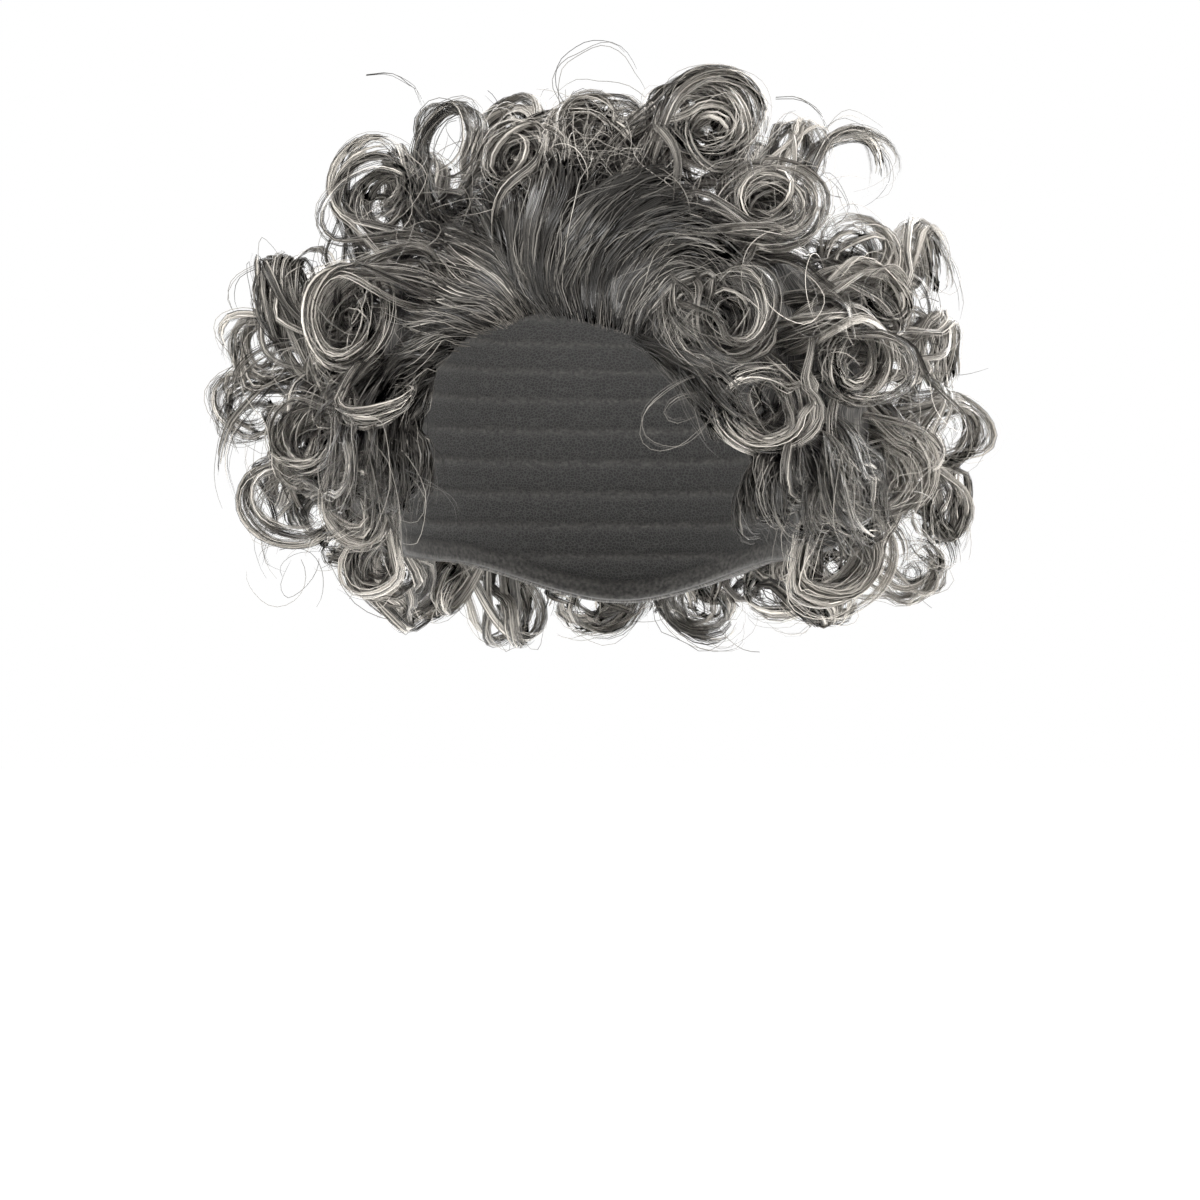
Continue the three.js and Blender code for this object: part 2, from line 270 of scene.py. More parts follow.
# How a clump leaves the cap: the spread of the side it comes from and the turns tried from there, in
# degrees, till its root lies on the cap and off its edge, the root's height, and how its stem bows
ARRIVAL_SPREAD = 14
ROOT_TURNS = (0, 20, -20, 40, -40, 60, -60, 90, -90, 120, -120, 150, -150, 180)
ROOT_WITHIN = 0.95
ROOT_HEIGHTS = (3, 12)
STEM_BOW = 6.0
STEM_POINTS = 6

# How a clump's ring differs from its curl, and how far hair stays off the cap
LEAN_SPREAD = 0.3
STRETCH_SPREAD = (0.9, 1.1)
SHADE_SPREAD = 0.10
POINTS_A_TURN = 12
CLEAR_OF_CAP = 5.0

# The sorts of clump in a curl, by how many there are, their place along the axis, the shift of their
# middle, their radius and turns, how far and how soon they wind inwards, their tilt, their wobble in
# millimetres, and how much lighter they are than the curl. A pair is a least and a most, and lengths
# are shares of the curl's sizes. Rings are loose, neat ones lie close and bands are flat. A bulb is
# stuffed, a hook is half a turn, a fold is small and an open ring is thin. Fillers wind to the middle
# or pass across it.
CLUMP_COLUMNS = "count place shift radius turns inset hurry tilt wobble lighter"
RING_SORTS = table(
    CLUMP_COLUMNS,
    (4, (-0.35, 0.40), 0.20, (0.66, 1.04), (0.8, 1.3), (0.05, 0.40), 1.0, 0.18, 2.2, 0.29),
    (2, (-0.30, 0.50), 0.25, (0.60, 1.05), (0.5, 1.0), (-0.05, 0.30), 1.0, 0.25, 3.0, 0.29),
)
NEAT_SORTS = table(
    CLUMP_COLUMNS,
    (6, (-0.25, 0.30), 0.07, (0.82, 1.02), (0.9, 1.2), (0.00, 0.20), 1.0, 0.06, 0.9, 0.25),
    (2, (-0.30, 0.30), 0.15, (0.90, 1.10), (0.6, 0.9), (-0.05, 0.10), 1.0, 0.12, 1.6, 0.30),
)
BAND_SORTS = table(
    CLUMP_COLUMNS,
    (6, (-0.12, 0.12), 0.08, (0.80, 1.04), (0.6, 0.9), (0.00, 0.25), 1.0, 0.06, 1.2, 0.25),
)
BULB_SORTS = table(
    CLUMP_COLUMNS,
    (6, (-0.30, 0.30), 0.08, (0.82, 0.98), (0.5, 0.8), (0.00, 0.20), 1.0, 0.10, 1.4, 0.02),
    (9, (-0.50, 0.10), 0.35, (0.30, 0.75), (0.8, 1.6), (0.00, 0.60), 1.0, 0.35, 2.6, 0.20),
)
HOOK_SORTS = table(
    CLUMP_COLUMNS,
    (6, (-0.35, 0.35), 0.10, (0.80, 1.00), (0.45, 0.70), (0.00, 0.25), 1.0, 0.12, 1.4, 0.15),
)
FOLD_SORTS = table(
    CLUMP_COLUMNS,
    (6, (-0.25, 0.25), 0.15, (0.35, 0.60), (0.7, 1.1), (0.00, 0.25), 1.0, 0.10, 0.8, 0.15),
)
OPEN_SORTS = table(
    CLUMP_COLUMNS,
    (5, (-0.35, 0.35), 0.10, (0.80, 1.00), (0.8, 1.2), (0.05, 0.25), 1.0, 0.12, 1.4, 0.20),
)
# Fillers are made less light than the rings: painted shade in a curl's middle
FILLER_SORTS = table(
    CLUMP_COLUMNS,
    (3, (-0.60, -0.10), 0.15, (0.72, 1.00), (1.2, 1.8), (0.60, 0.90), 0.6, 0.18, 2.2, 0.10),
    (2, (-0.80, -0.20), 0.60, (0.60, 0.85), (0.5, 0.9), (0.00, 0.30), 1.0, 0.28, 2.0, 0.05),
)
FILLED_RADIUS = 16.0
BACK_FILLED = 0.35

# Each curl is a loose ring with a filled middle, apart from these: their clumps, and how filled
CURL_FORMS = {
    "right_curl_1": (NEAT_SORTS, 1.0), "right_curl_3": (OPEN_SORTS, 0.0),
    "right_curl_8": (BAND_SORTS, 0.0), "right_curl_9": (FOLD_SORTS, 0.0),
    "right_curl_11": (OPEN_SORTS, 0.0),
    "left_curl_1": (HOOK_SORTS, 0.0), "left_curl_4": (NEAT_SORTS, 1.0),
    "left_curl_12": (NEAT_SORTS, 1.3), "top_curl_2": (BULB_SORTS, 0.8),
}
CURL_STRANDS = 3
CURL_BUNDLES = 3

# Sizes of the strands in metres, where they differ from the tree's own
COMBED_FRIZZ = 0.010
CURL_SEGMENT = 0.0044
BACK_SEGMENT = 0.006
STRAY_SEGMENT = 0.0036
STRAY_RADIUS = 0.00012


def axis_of(turn, nod):
    turn, nod = math.radians(turn), math.radians(nod)
    return np.array([
        math.cos(nod) * math.sin(turn), -math.cos(nod) * math.cos(turn), math.sin(nod),
    ])


def placed_curl(row):
    centre = np.array([row.across, row.back, row.up], float)
    return SimpleNamespace(**vars(row), centre=centre, axis=axis_of(row.turn, row.nod))


def back_curls():
    curls = []
    for index, row in enumerate(BACK_ROWS):
        for step in range(row.count):
            around = row.begins + (row.ends - row.begins) * step / (row.count - 1)
            share = row.down / edge_value(around, EDGE_DOWN)
            height = HAIR_INNER + layer_depth(around, share) + row.radius * row.lift
            foot = head_point(around, row.down)
            normal = head_normal(foot)
            level = unit(np.cross([0, 0, 1], normal))
            roll = math.radians(BACK_ROLLS[(step + BACK_ROLL_STEP * index) % len(BACK_ROLLS)])
            axis = level * math.cos(roll) + np.cross(normal, level) * math.sin(roll)
            curls.append(SimpleNamespace(
                centre=foot + normal * height, axis=unit(axis + BACK_OUTWARDS * normal),
                radius=row.radius, width=row.width,
                hand=(-1) ** step, arrives=None, reach=BACK_REACH * row.radius,
                shade=BACK_SHADE, stretch=rng.uniform(1.0, 1.3), lean=rng.uniform(0, 180),
            ))
    return curls


def ring_frame(axis):
    """Above and to the right, square to an axis and seen from its tip."""
    above = unit(np.array([0, 0, 1.0]) - axis * axis[2])
    return above, np.cross(above, axis)


def bent_line(start, end, start_way, end_way, points):
    """A path between two points that leaves and arrives in given directions."""
    pull = 0.45 * np.linalg.norm(end - start)
    t = np.linspace(0, 1, points)[:, None]
    a, b, c, d = start, start + start_way * pull, end - end_way * pull, end
    return a * (1 - t)**3 + 3 * b * t * (1 - t)**2 + 3 * c * t * t * (1 - t) + d * t**3


def clump_root(curl, centre, above, right, arrives, radius):
    """Where a clump leaves the cap, on the side it arrives from or on the nearest side with cap."""
    reach = max(curl.reach, 1.15 * radius) * rng.uniform(0.8, 1.2)
    height = np.array(rng.uniform(*ROOT_HEIGHTS))
    for turned in ROOT_TURNS:
        bearing = math.radians(arrives + turned)
        towards = above * math.cos(bearing) + right * math.sin(bearing)
        root = raised_to(centre + towards * reach, height)
        if cap_share(root) < ROOT_WITHIN:
            break
    return root


def touching_angle(root, centre, axis, radius, hand):
    """The angle round a ring at which a line from the root touches it."""
    above, right = ring_frame(axis)
    flat = root - centre
    flat = flat - axis * (flat @ axis)
    distance = max(np.linalg.norm(flat), 1.05 * radius)
    return math.atan2(flat @ right, flat @ above) + hand * math.acos(radius / distance)


def oval_spokes(angles, above, right, lean, stretch):
    """Ways out from a ring's middle, longer along its lean."""
    spokes = np.cos(angles)[:, None] * above + np.sin(angles)[:, None] * right
    longer = above * math.cos(lean) + right * math.sin(lean)
    return (spokes + np.outer(spokes @ longer, longer) * (stretch - 1)) / math.sqrt(stretch)


def bowed_stem(root, ring):
    """The way from a root to the first point of a ring, bowed at random."""
    lift = unit(unit(ring[0] - root) + 0.5 * head_normal(root))
    stem = bent_line(root, ring[0], lift, unit(ring[1] - ring[0]), STEM_POINTS)
    bow = np.sin(np.linspace(0, math.pi, STEM_POINTS))[:, None]
    return (stem + bow * rng.normal(0, STEM_BOW, 3))[:-1]


def clump_lock(curl, sort, arrives):
    """One clump of a curl: it leaves the layer, sweeps to the ring and winds inwards."""
    axis = unit(curl.axis + rng.normal(0, sort.tilt, 3))
    above, right = ring_frame(axis)
    radius = curl.radius * rng.uniform(*sort.radius)
    centre = curl.centre + axis * rng.uniform(*sort.place) * curl.width
    shift = rng.uniform(-1, 1, 2) * sort.shift * radius
    centre = centre + above * shift[0] + right * shift[1]
    root = clump_root(curl, centre, above, right, arrives + rng.normal(0, ARRIVAL_SPREAD), radius)
    first = touching_angle(root, centre, axis, radius, curl.hand)
    turns = rng.uniform(*sort.turns)
    points = int(POINTS_A_TURN * turns) + 2
    angles = first + curl.hand * np.linspace(0, 2 * math.pi * turns, points)
    wound = np.linspace(0, 1, points)[:, None]
    lean = math.radians(curl.lean) + rng.normal(0, LEAN_SPREAD)
    stretch = curl.stretch * rng.uniform(*STRETCH_SPREAD)
    spokes = oval_spokes(angles, above, right, lean, stretch)
    drift = axis * (wound - 0.5) * curl.width * rng.uniform(-0.5, 0.5)
    inset = rng.uniform(*sort.inset) * wound ** sort.hurry
    ring = centre + spokes * radius * (1 - inset) + drift
    path = np.vstack([bowed_stem(root, ring), ring])
    path = kept_off(path + wobble(len(path), sort.wobble), CLEAR_OF_CAP)
    along = np.linspace(0, 1, len(path))
    return lock(
        path, np.cross(np.gradient(path, axis=0), axis),
        width=curl.width * (0.09 + 0.13 * smooth(along, 0.1, 0.7)),
        thick=curl.radius * (0.09 + 0.07 * along),
        strands=CURL_STRANDS, bundles=CURL_BUNDLES,
        shade=curl.shade + sort.lighter + rng.normal(0, SHADE_SPREAD),
    )


def curl_locks(curl, rings, filled):
    """The clumps of one curl: its rings, and fillers by how filled its middle is."""
    arrives = curl.arrives
    if arrives is None:
        above, right = ring_frame(curl.axis)
        inwards = HEAD_MIDDLE - curl.centre
        arrives = math.degrees(math.atan2(inwards @ right, inwards @ above)) - BACK_ARRIVES * curl.hand
    locks = []
    fillers = filled * (curl.radius / FILLED_RADIUS) ** 2
    for sorts, factor in ((rings, 1), (FILLER_SORTS, fillers)):
        for sort in sorts:
            locks += [clump_lock(curl, sort, arrives) for _ in range(round(sort.count * factor))]
    return locks


# Combed hair at the front, from the parting round the hairline's curve: pixels of the photo that the
# hair runs through, how far it lifts off the head, and its shade. Locks lie between the rows.
SWEEP_COLUMNS = "path lift shade"
FRONT_SWEEPS = table(
    SWEEP_COLUMNS,
    (((424, 394), (412, 402), (398, 420), (390, 450)), 6, 0.14),
    (((438, 364), (420, 366), (398, 378), (382, 404)), 9, 0.16),
    (((460, 342), (434, 340), (405, 346), (378, 360)), 12, 0.22),
    (((484, 328), (452, 320), (420, 316), (390, 312), (360, 310)), 15, 0.28),
    # This row is lighter than its neighbours: a painted sheen
    (((505, 322), (475, 306), (445, 296), (415, 280), (388, 262), (350, 262)), 17, 0.36),
    (((520, 318), (496, 293), (458, 280), (430, 262), (395, 246), (345, 256)), 19, 0.28),
    (((528, 315), (504, 277), (470, 253), (430, 240), (385, 236), (335, 252)), 20, 0.22),
    (((534, 313), (514, 264), (484, 235), (445, 215), (400, 212), (345, 230)), 22, 0.18),
    (((540, 311), (518, 262), (500, 222), (474, 198), (432, 186), (385, 200)), 24, 0.15),
    (((545, 311), (526, 276), (514, 240), (502, 205), (490, 180), (476, 158)), 25, 0.12),
    (((550, 312), (530, 280), (529, 240), (541, 200), (548, 168), (540, 140)), 26, 0.11),
    (((557, 315), (543, 285), (545, 245), (560, 205), (572, 170), (568, 130)), 27, 0.11),
    (((566, 316), (556, 288), (562, 250), (580, 212), (600, 184), (612, 150)), 27, 0.11),
    (((578, 319), (570, 290), (580, 252), (602, 218), (636, 190), (676, 178), (720, 190)), 26, 0.11),
    (((590, 322), (588, 290), (600, 254), (626, 222), (662, 205), (704, 205), (745, 228)), 24, 0.12),
    (((602, 326), (604, 290), (618, 256), (648, 228), (686, 218), (724, 232), (752, 262)), 22, 0.16),
    (((614, 329), (618, 296), (640, 262), (672, 242), (708, 244), (736, 262), (756, 290)), 19, 0.19),
    (((630, 335), (638, 305), (662, 276), (692, 264), (724, 276), (748, 304)), 15, 0.24),
    (((646, 342), (658, 315), (682, 296), (712, 298), (740, 318)), 12, 0.24),
    (((664, 352), (680, 330), (704, 318), (732, 326)), 9, 0.22),
)

# The rows above the right temple, over which lighter strands make a painted sheen
SHEEN_SWEEPS = FRONT_SWEEPS[3:8]

# Locks along the hairline, down both sides, in front of the left temple and across the left crown
HAIRLINE_SWEEPS = table(
    SWEEP_COLUMNS,
    (((628, 337), (660, 352), (690, 376), (715, 410), (735, 450)), 5, 0.12),
    (((640, 339), (676, 358), (706, 384), (730, 420), (745, 455)), 8, 0.16),
    (((652, 342), (690, 358), (718, 378), (742, 405)), 11, 0.22),
)
RIGHT_SIDE_SWEEPS = table(
    SWEEP_COLUMNS,
    (((420, 400), (412, 440), (404, 485), (410, 530)), 4, 0.14),
    (((412, 385), (392, 430), (396, 478), (384, 530)), 14, 0.18),
    (((402, 372), (372, 415), (366, 470), (350, 530)), 26, 0.24),
    (((408, 360), (356, 394), (332, 455), (322, 520)), 33, 0.32),
    (((424, 350), (380, 362), (330, 392), (300, 460)), 29, 0.32),
)
LEFT_SIDE_SWEEPS = table(
    SWEEP_COLUMNS,
    (((734, 420), (758, 458), (760, 500), (776, 545)), 4, 0.14),
    (((745, 420), (778, 455), (784, 500), (804, 548)), 14, 0.20),
    (((760, 415), (806, 445), (818, 490), (842, 545)), 26, 0.28),
    (((770, 404), (836, 428), (866, 482), (886, 540)), 33, 0.40),
    (((770, 386), (846, 400), (896, 444), (910, 500)), 31, 0.44),
)
FACE_LOCKS = table(
    SWEEP_COLUMNS,
    (((708, 235), (674, 262), (668, 306), (692, 350), (736, 374)), 14, 0.46),
    (((712, 232), (680, 264), (676, 304), (698, 342), (740, 366)), 14, 0.42),
)
SWOOSH_LOCKS = table(
    SWEEP_COLUMNS,
    (((700, 182), (724, 206), (768, 220), (812, 216), (852, 192)), 34, 0.58),
    (((702, 192), (724, 218), (768, 232), (812, 228), (850, 206)), 34, 0.56),
)
SWEEP_POINTS = 12

# How locks are spread over the rows: how many, what fills each, its half width, and how it sways
SPREAD_COLUMNS = "rows count strands bundles width sway lighter"
COMBED_SPREADS = table(
    SPREAD_COLUMNS,
    (FRONT_SWEEPS, 110, 4, 4, 4.2, 3.5, -0.03),
    (FRONT_SWEEPS, 80, 6, 0, 7.0, 8.0, 0.22),
    # Lighter strands over those rows: a painted sheen
    (SHEEN_SWEEPS, 24, 6, 0, 6.0, 3.5, 0.38),
)
EDGE_SPREADS = table(
    SPREAD_COLUMNS,
    (HAIRLINE_SWEEPS, 16, 8, 3, 3.4, 3.5, 0.0),
    (FACE_LOCKS, 4, 10, 3, 3.0, 3.5, 0.0),
    (SWOOSH_LOCKS, 8, 10, 3, 3.4, 3.5, 0.0),
    (RIGHT_SIDE_SWEEPS, 20, 8, 3, 3.2, 12.0, 0.0),
    (RIGHT_SIDE_SWEEPS, 10, 6, 0, 5.0, 14.0, 0.22),
    (LEFT_SIDE_SWEEPS, 20, 8, 3, 3.2, 12.0, 0.0),
    (LEFT_SIDE_SWEEPS, 10, 6, 0, 5.0, 14.0, 0.22),
)


def sweep_path(sweep):
    rise = smooth(np.linspace(0, 1.6, len(sweep.path)))
    return through(seen_at(sweep.path, LEAST_DEPTH + sweep.lift * rise), SWEEP_POINTS)


def spread_locks(spread):
    """Locks spread evenly from the first row's path to the last one's, at mixed depths."""
    paths = np.array([sweep_path(sweep) for sweep in spread.rows])
    shades = [sweep.shade for sweep in spread.rows]
    last = len(paths) - 1
    t = np.linspace(0, 1, SWEEP_POINTS)
    point = np.arange(SWEEP_POINTS)
    locks = []
    for number in range(spread.count):
        place = (number + rng.uniform(0, 1)) / spread.count * last
        strayed = np.clip(place + rng.normal(0, 0.5) * t, 0, last)
        row = np.minimum(strayed.astype(int), last - 1)
        mix = (strayed - row)[:, None]
        path = paths[row, point] * (1 - mix) + paths[row + 1, point] * mix
        normal = head_normal(path)
        across = unit(np.cross(np.gradient(path, axis=0), normal))
        waves = t * rng.uniform(0.9, 1.8) + rng.uniform(0, 1)
        wave = spread.sway * t * np.sin(2 * math.pi * waves)
        sink = rng.uniform(-8, 3) * smooth(t, 0, 0.5)
        locks.append(lock(
            path + across * wave[:, None] + normal * sink[:, None], normal,
            width=spread.width * (0.7 + 0.6 * smooth(t, 0, 0.7)),
            thick=0.8 + 2.2 * smooth(t, 0, 0.5),
            strands=spread.strands, bundles=spread.bundles,
            shade=np.interp(place, range(len(shades)), shades) + rng.normal(0, 0.06) + spread.lighter,
        ))
    return locks


# Springy locks over the rest of the cap, in rows by their share of the way to its edge and how many
# locks each has: how many degrees they fall, their heights as shares of the layer's depth, their
# radii, what fills them, their half width, and the half angle at the hairline that they stay clear of
SPRINGY_LAYERS = table(
    "rows fall lowest highest least most strands bundles width clear",
    (((0.08, 8), (0.20, 18), (0.34, 30), (0.48, 42), (0.62, 50), (0.76, 52), (0.90, 46)),
     34, 0.65, 1.15, 4, 8, 1, 3, 3.4, 63),
    (((0.10, 8), (0.26, 16), (0.42, 24), (0.58, 28), (0.74, 28)),
     34, 1.20, 1.65, 6, 10, 3, 2, 2.6, 76),
    (((0.10, 8), (0.18, 12), (0.26, 13)), -34, 0.85, 1.40, 4, 9, 3, 3, 4.0, 0),
)
SPRINGY_POINTS = 18
SPRINGY_WANDER = 12.0
SPRINGY_FOOT = 3.0

# Near the crown they stand over the hairline too, but fall less there
FRONT_FROM = 0.25
FRONT_FALL = 0.5

# They are lighter towards the wearer's left, and lighter above the origin as painted light from above,
# by so much a millimetre
SPRINGY_SHADE = 0.53
SPRINGY_LIGHTEST = 0.62
LIGHTER_LEFT = 0.0012
LIGHTER_UP = 0.0015


def springy_lock(around, share, layer):
    t = np.linspace(0, 1, SPRINGY_POINTS)
    edge = edge_value(around, EDGE_DOWN)
    begins = share * edge
    shorter = FRONT_FALL if from_hairline(around) < layer.clear else 1.0
    ends = min(begins + layer.fall * shorter, edge)
    depth = layer_depth(around, min(share + 0.08, 0.9))
    full = depth * rng.uniform(layer.lowest, layer.highest)
    wander = rng.uniform(-SPRINGY_WANDER, SPRINGY_WANDER)
    foot = head_point(around + wander * t, begins + (ends - begins) * t)
    base = raised(foot, SPRINGY_FOOT + (full - SPRINGY_FOOT) * smooth(t, 0, 0.4))
    normal = head_normal(base)
    across = unit(np.cross(np.gradient(base, axis=0), normal))
    turn = rng.choice((-1, 1)) * 2 * math.pi * rng.uniform(0.8, 1.5) * t
    turn = (turn + rng.uniform(0, 2 * math.pi))[:, None]
    spring = (rng.uniform(layer.least, layer.most) * smooth(t, 0, 0.45))[:, None]
    path = kept_off(base + spring * (across * np.cos(turn) + normal * np.sin(turn)), CLEAR_OF_CAP)
    shade = SPRINGY_SHADE + rng.normal(0, SHADE_SPREAD) + LIGHTER_LEFT * path[0, 0]
    return lock(
        path, normal, width=layer.width * (1 + 0.5 * t), thick=2.0 + 1.5 * t,
        strands=layer.strands, bundles=layer.bundles,
        # Lighter above the origin: painted light from above
        shade=min(shade, SPRINGY_LIGHTEST) + LIGHTER_UP * max(path[-1, 2], 0),
    )


def springy_locks(layer):
    locks = []
    for share, amount in layer.rows:
        for step in range(amount):
            around = 360 * (step + rng.uniform(-0.35, 0.35)) / amount + 20
            if from_hairline(around) > layer.clear or share < FRONT_FROM:
                locks.append(springy_lock(around, share, layer))
    return locks


# Single hairs that stand off the outline: how many, their heights as shares of the layer's depth and
# their radii, and then those that the photo shows, by its pixels and how far back they lie
STRAY_SORTS = table(
    "count lowest highest least most",
    (200, 1.15, 1.60, 6, 15),
    (320, 0.95, 1.60, 8, 26),
)
STRAY_POINTS = 12
FLYAWAY_POINTS = 18
FRONT_HALF_ANGLE = 50.0
FLYAWAYS = table(
    "path back",
    (((572, 130), (558, 94), (562, 62), (592, 44), (624, 52), (638, 76), (640, 104)), -20),
    (((366, 73), (392, 72), (410, 85), (420, 108), (432, 136)), -20),
    (((716, 372), (676, 384), (646, 410), (648, 438), (678, 446), (704, 424), (716, 396)), -92),
    (((706, 392), (680, 396), (666, 410), (676, 420), (704, 412)), -92),
    (((404, 470), (432, 486), (452, 506), (456, 528)), -88),
    (((776, 96), (800, 96), (822, 112), (832, 140)), 0),
    (((930, 236), (950, 262), (960, 296), (956, 330)), 0),
    (((270, 262), (240, 276), (232, 300), (244, 326)), 0),
    (((250, 352), (222, 380), (212, 410), (220, 440)), 10),
    (((262, 380), (234, 396), (228, 424), (236, 452)), 10),
)


def stray_lock(sort):
    """A single hair in an arc, on the hair's outside or standing off it."""
    around = rng.uniform(0, 360)
    share = rng.uniform(0.0, 1.0) ** 0.6
    if from_hairline(around) < FRONT_HALF_ANGLE:
        share *= rng.uniform(0.2, 0.8)
    depth = layer_depth(around, min(share, 0.85))
    foot = head_point(around, share * edge_value(around, EDGE_DOWN))
    normal = head_normal(foot)
    place = foot + normal * depth * rng.uniform(sort.lowest, sort.highest)
    axis = unit(rng.normal(0, 1, 3) + normal)
    first = unit(np.cross(axis, normal))
    second = np.cross(axis, first)
    radius = rng.uniform(sort.least, sort.most)
    begin = rng.uniform(0, 2 * math.pi)
    angle = (begin + np.linspace(0, rng.uniform(25, 60) / radius + 0.5, STRAY_POINTS))[:, None]
    slide = axis * np.linspace(0, rng.uniform(-10, 10), STRAY_POINTS)[:, None]
    arc = radius * (first * np.cos(angle) + second * np.sin(angle)) + slide
    return lock(
        place + arc - arc.mean(0), axis, width=0.8, thick=0.8, strands=1, bundles=0,
        shade=rng.uniform(0.3, 0.85),
    )


def flyaway_lock(flyaway):
    """A few hairs that stand off together, by the photo's pixels."""
    pixels = np.array(flyaway.path, float) - PHOTO_SIDE / 2
    away = MM_PER_PIXEL * (1 + flyaway.back / CAMERA_BACK)
    places = np.stack([
        pixels[:, 0] * away, np.full(len(pixels), flyaway.back), CAMERA_HEIGHT - pixels[:, 1] * away,
    ], -1)
    path = through(places, FLYAWAY_POINTS)
    return lock(path, head_normal(path), width=1.0, thick=1.0, strands=3, bundles=0, shade=0.35)


def stray_locks():
    strays = [stray_lock(sort) for sort in STRAY_SORTS for _ in range(sort.count)]
    return strays + [flyaway_lock(flyaway) for flyaway in FLYAWAYS]


# Node trees

class Wire:
    """A node's output, on which arithmetic adds Math nodes."""

    def __init__(self, graph, socket):
        self.graph = graph
        self.socket = socket

    def maths(self, operation, *others):
        return self.graph.maths(operation, self, *others)

    def __add__(self, other):
        return self.maths("ADD", other)

    def __sub__(self, other):
        return self.maths("SUBTRACT", other)

    def __rsub__(self, other):
        return self.graph.maths("SUBTRACT", other, self)

    def __mul__(self, other):
        return self.maths("MULTIPLY", other)

    def __truediv__(self, other):
        return self.maths("DIVIDE", other)

    def __pow__(self, other):
        return self.maths("POWER", other)

    __radd__ = __add__
    __rmul__ = __mul__


class Graph:
    """A node tree, filled node by node."""

    def __init__(self, tree):
        self.tree = tree

    def add(self, kind, settings=None, values=None, out=0):
        """Adds a node, sets its settings, then its sockets, and gives one of its outputs."""
        node = self.tree.nodes.new(kind)
        for name, value in (settings or {}).items():
            if name == "stops":
                self.set_stops(node.color_ramp, value)
            else:
                setattr(node, name, value)
        for key, value in (values or {}).items():
            socket = self.pick(node.inputs, key)
            if isinstance(value, Wire):
                self.tree.links.new(value.socket, socket)
            else:
                socket.default_value = value
        return Wire(self, self.pick(node.outputs, out)) if node.outputs else node

    def maths(self, operation, *values):
        return self.add("ShaderNodeMath", {"operation": operation}, dict(enumerate(values)))

    def eased(self, value, low, high, start=0.0, end=1.0):
        """Goes smoothly from start to end as a value goes from low to high."""
        return self.add("ShaderNodeMapRange", {"interpolation_type": "SMOOTHSTEP"}, {
            "Value": value, "From Min": low, "From Max": high, "To Min": start, "To Max": end,
        })

    @staticmethod
    def pick(sockets, key):
        """A socket by its number or name, among those that the node's settings show."""
        shown = [s for s in sockets if s.enabled]
        return shown[key] if isinstance(key, int) else next(s for s in shown if s.name == key)

    @staticmethod
    def set_stops(ramp, stops):
        while len(ramp.elements) < len(stops):
            ramp.elements.new(1.0)
        for element, (place, colour) in zip(ramp.elements, stops):
            element.position = place
            element.color = (*colour, 1.0)

    def scaled(self, vector, factor):
        values = {"Vector": vector, "Scale": factor}
        return self.add("ShaderNodeVectorMath", {"operation": "SCALE"}, values)

    def summed(self, first, *others):
        total = first
        for other in others:
            total = self.add("ShaderNodeVectorMath", {"operation": "ADD"}, {0: total, 1: other})
        return total


STRAND_INPUTS = (
    ("Strand Radius", "NodeSocketFloat", 0.00013),
    ("Segment", "NodeSocketFloat", 0.0055),
    ("Frizz", "NodeSocketFloat", 0.007),
    ("Frizz Scale", "NodeSocketFloat", 45.0),
    ("Twist", "NodeSocketFloat", 1.8),
    ("Stray Share", "NodeSocketFloat", 0.25),
    ("Stray Reach", "NodeSocketFloat", 1.6),
    ("Shortest", "NodeSocketFloat", 0.7),
    ("Tone Spread", "NodeSocketFloat", 0.2),
    ("Bundle Share", "NodeSocketFloat", 0.95),
    ("Bundle Flatness", "NodeSocketFloat", 0.22),
    ("Seed", "NodeSocketInt", 1),
)
STRAND_SIDES = 3
BUNDLE_SIDES = 4
TONE_LEVELS = 16

# The flat map has a tile for each tone, in so many columns, with single strands in its lower half
# and bundles in its upper half. The margin of a tile stays empty.
MAP_COLUMNS = 4
TILE_MARGIN = 0.06
TILE_SHARE = 1 - 2 * TILE_MARGIN


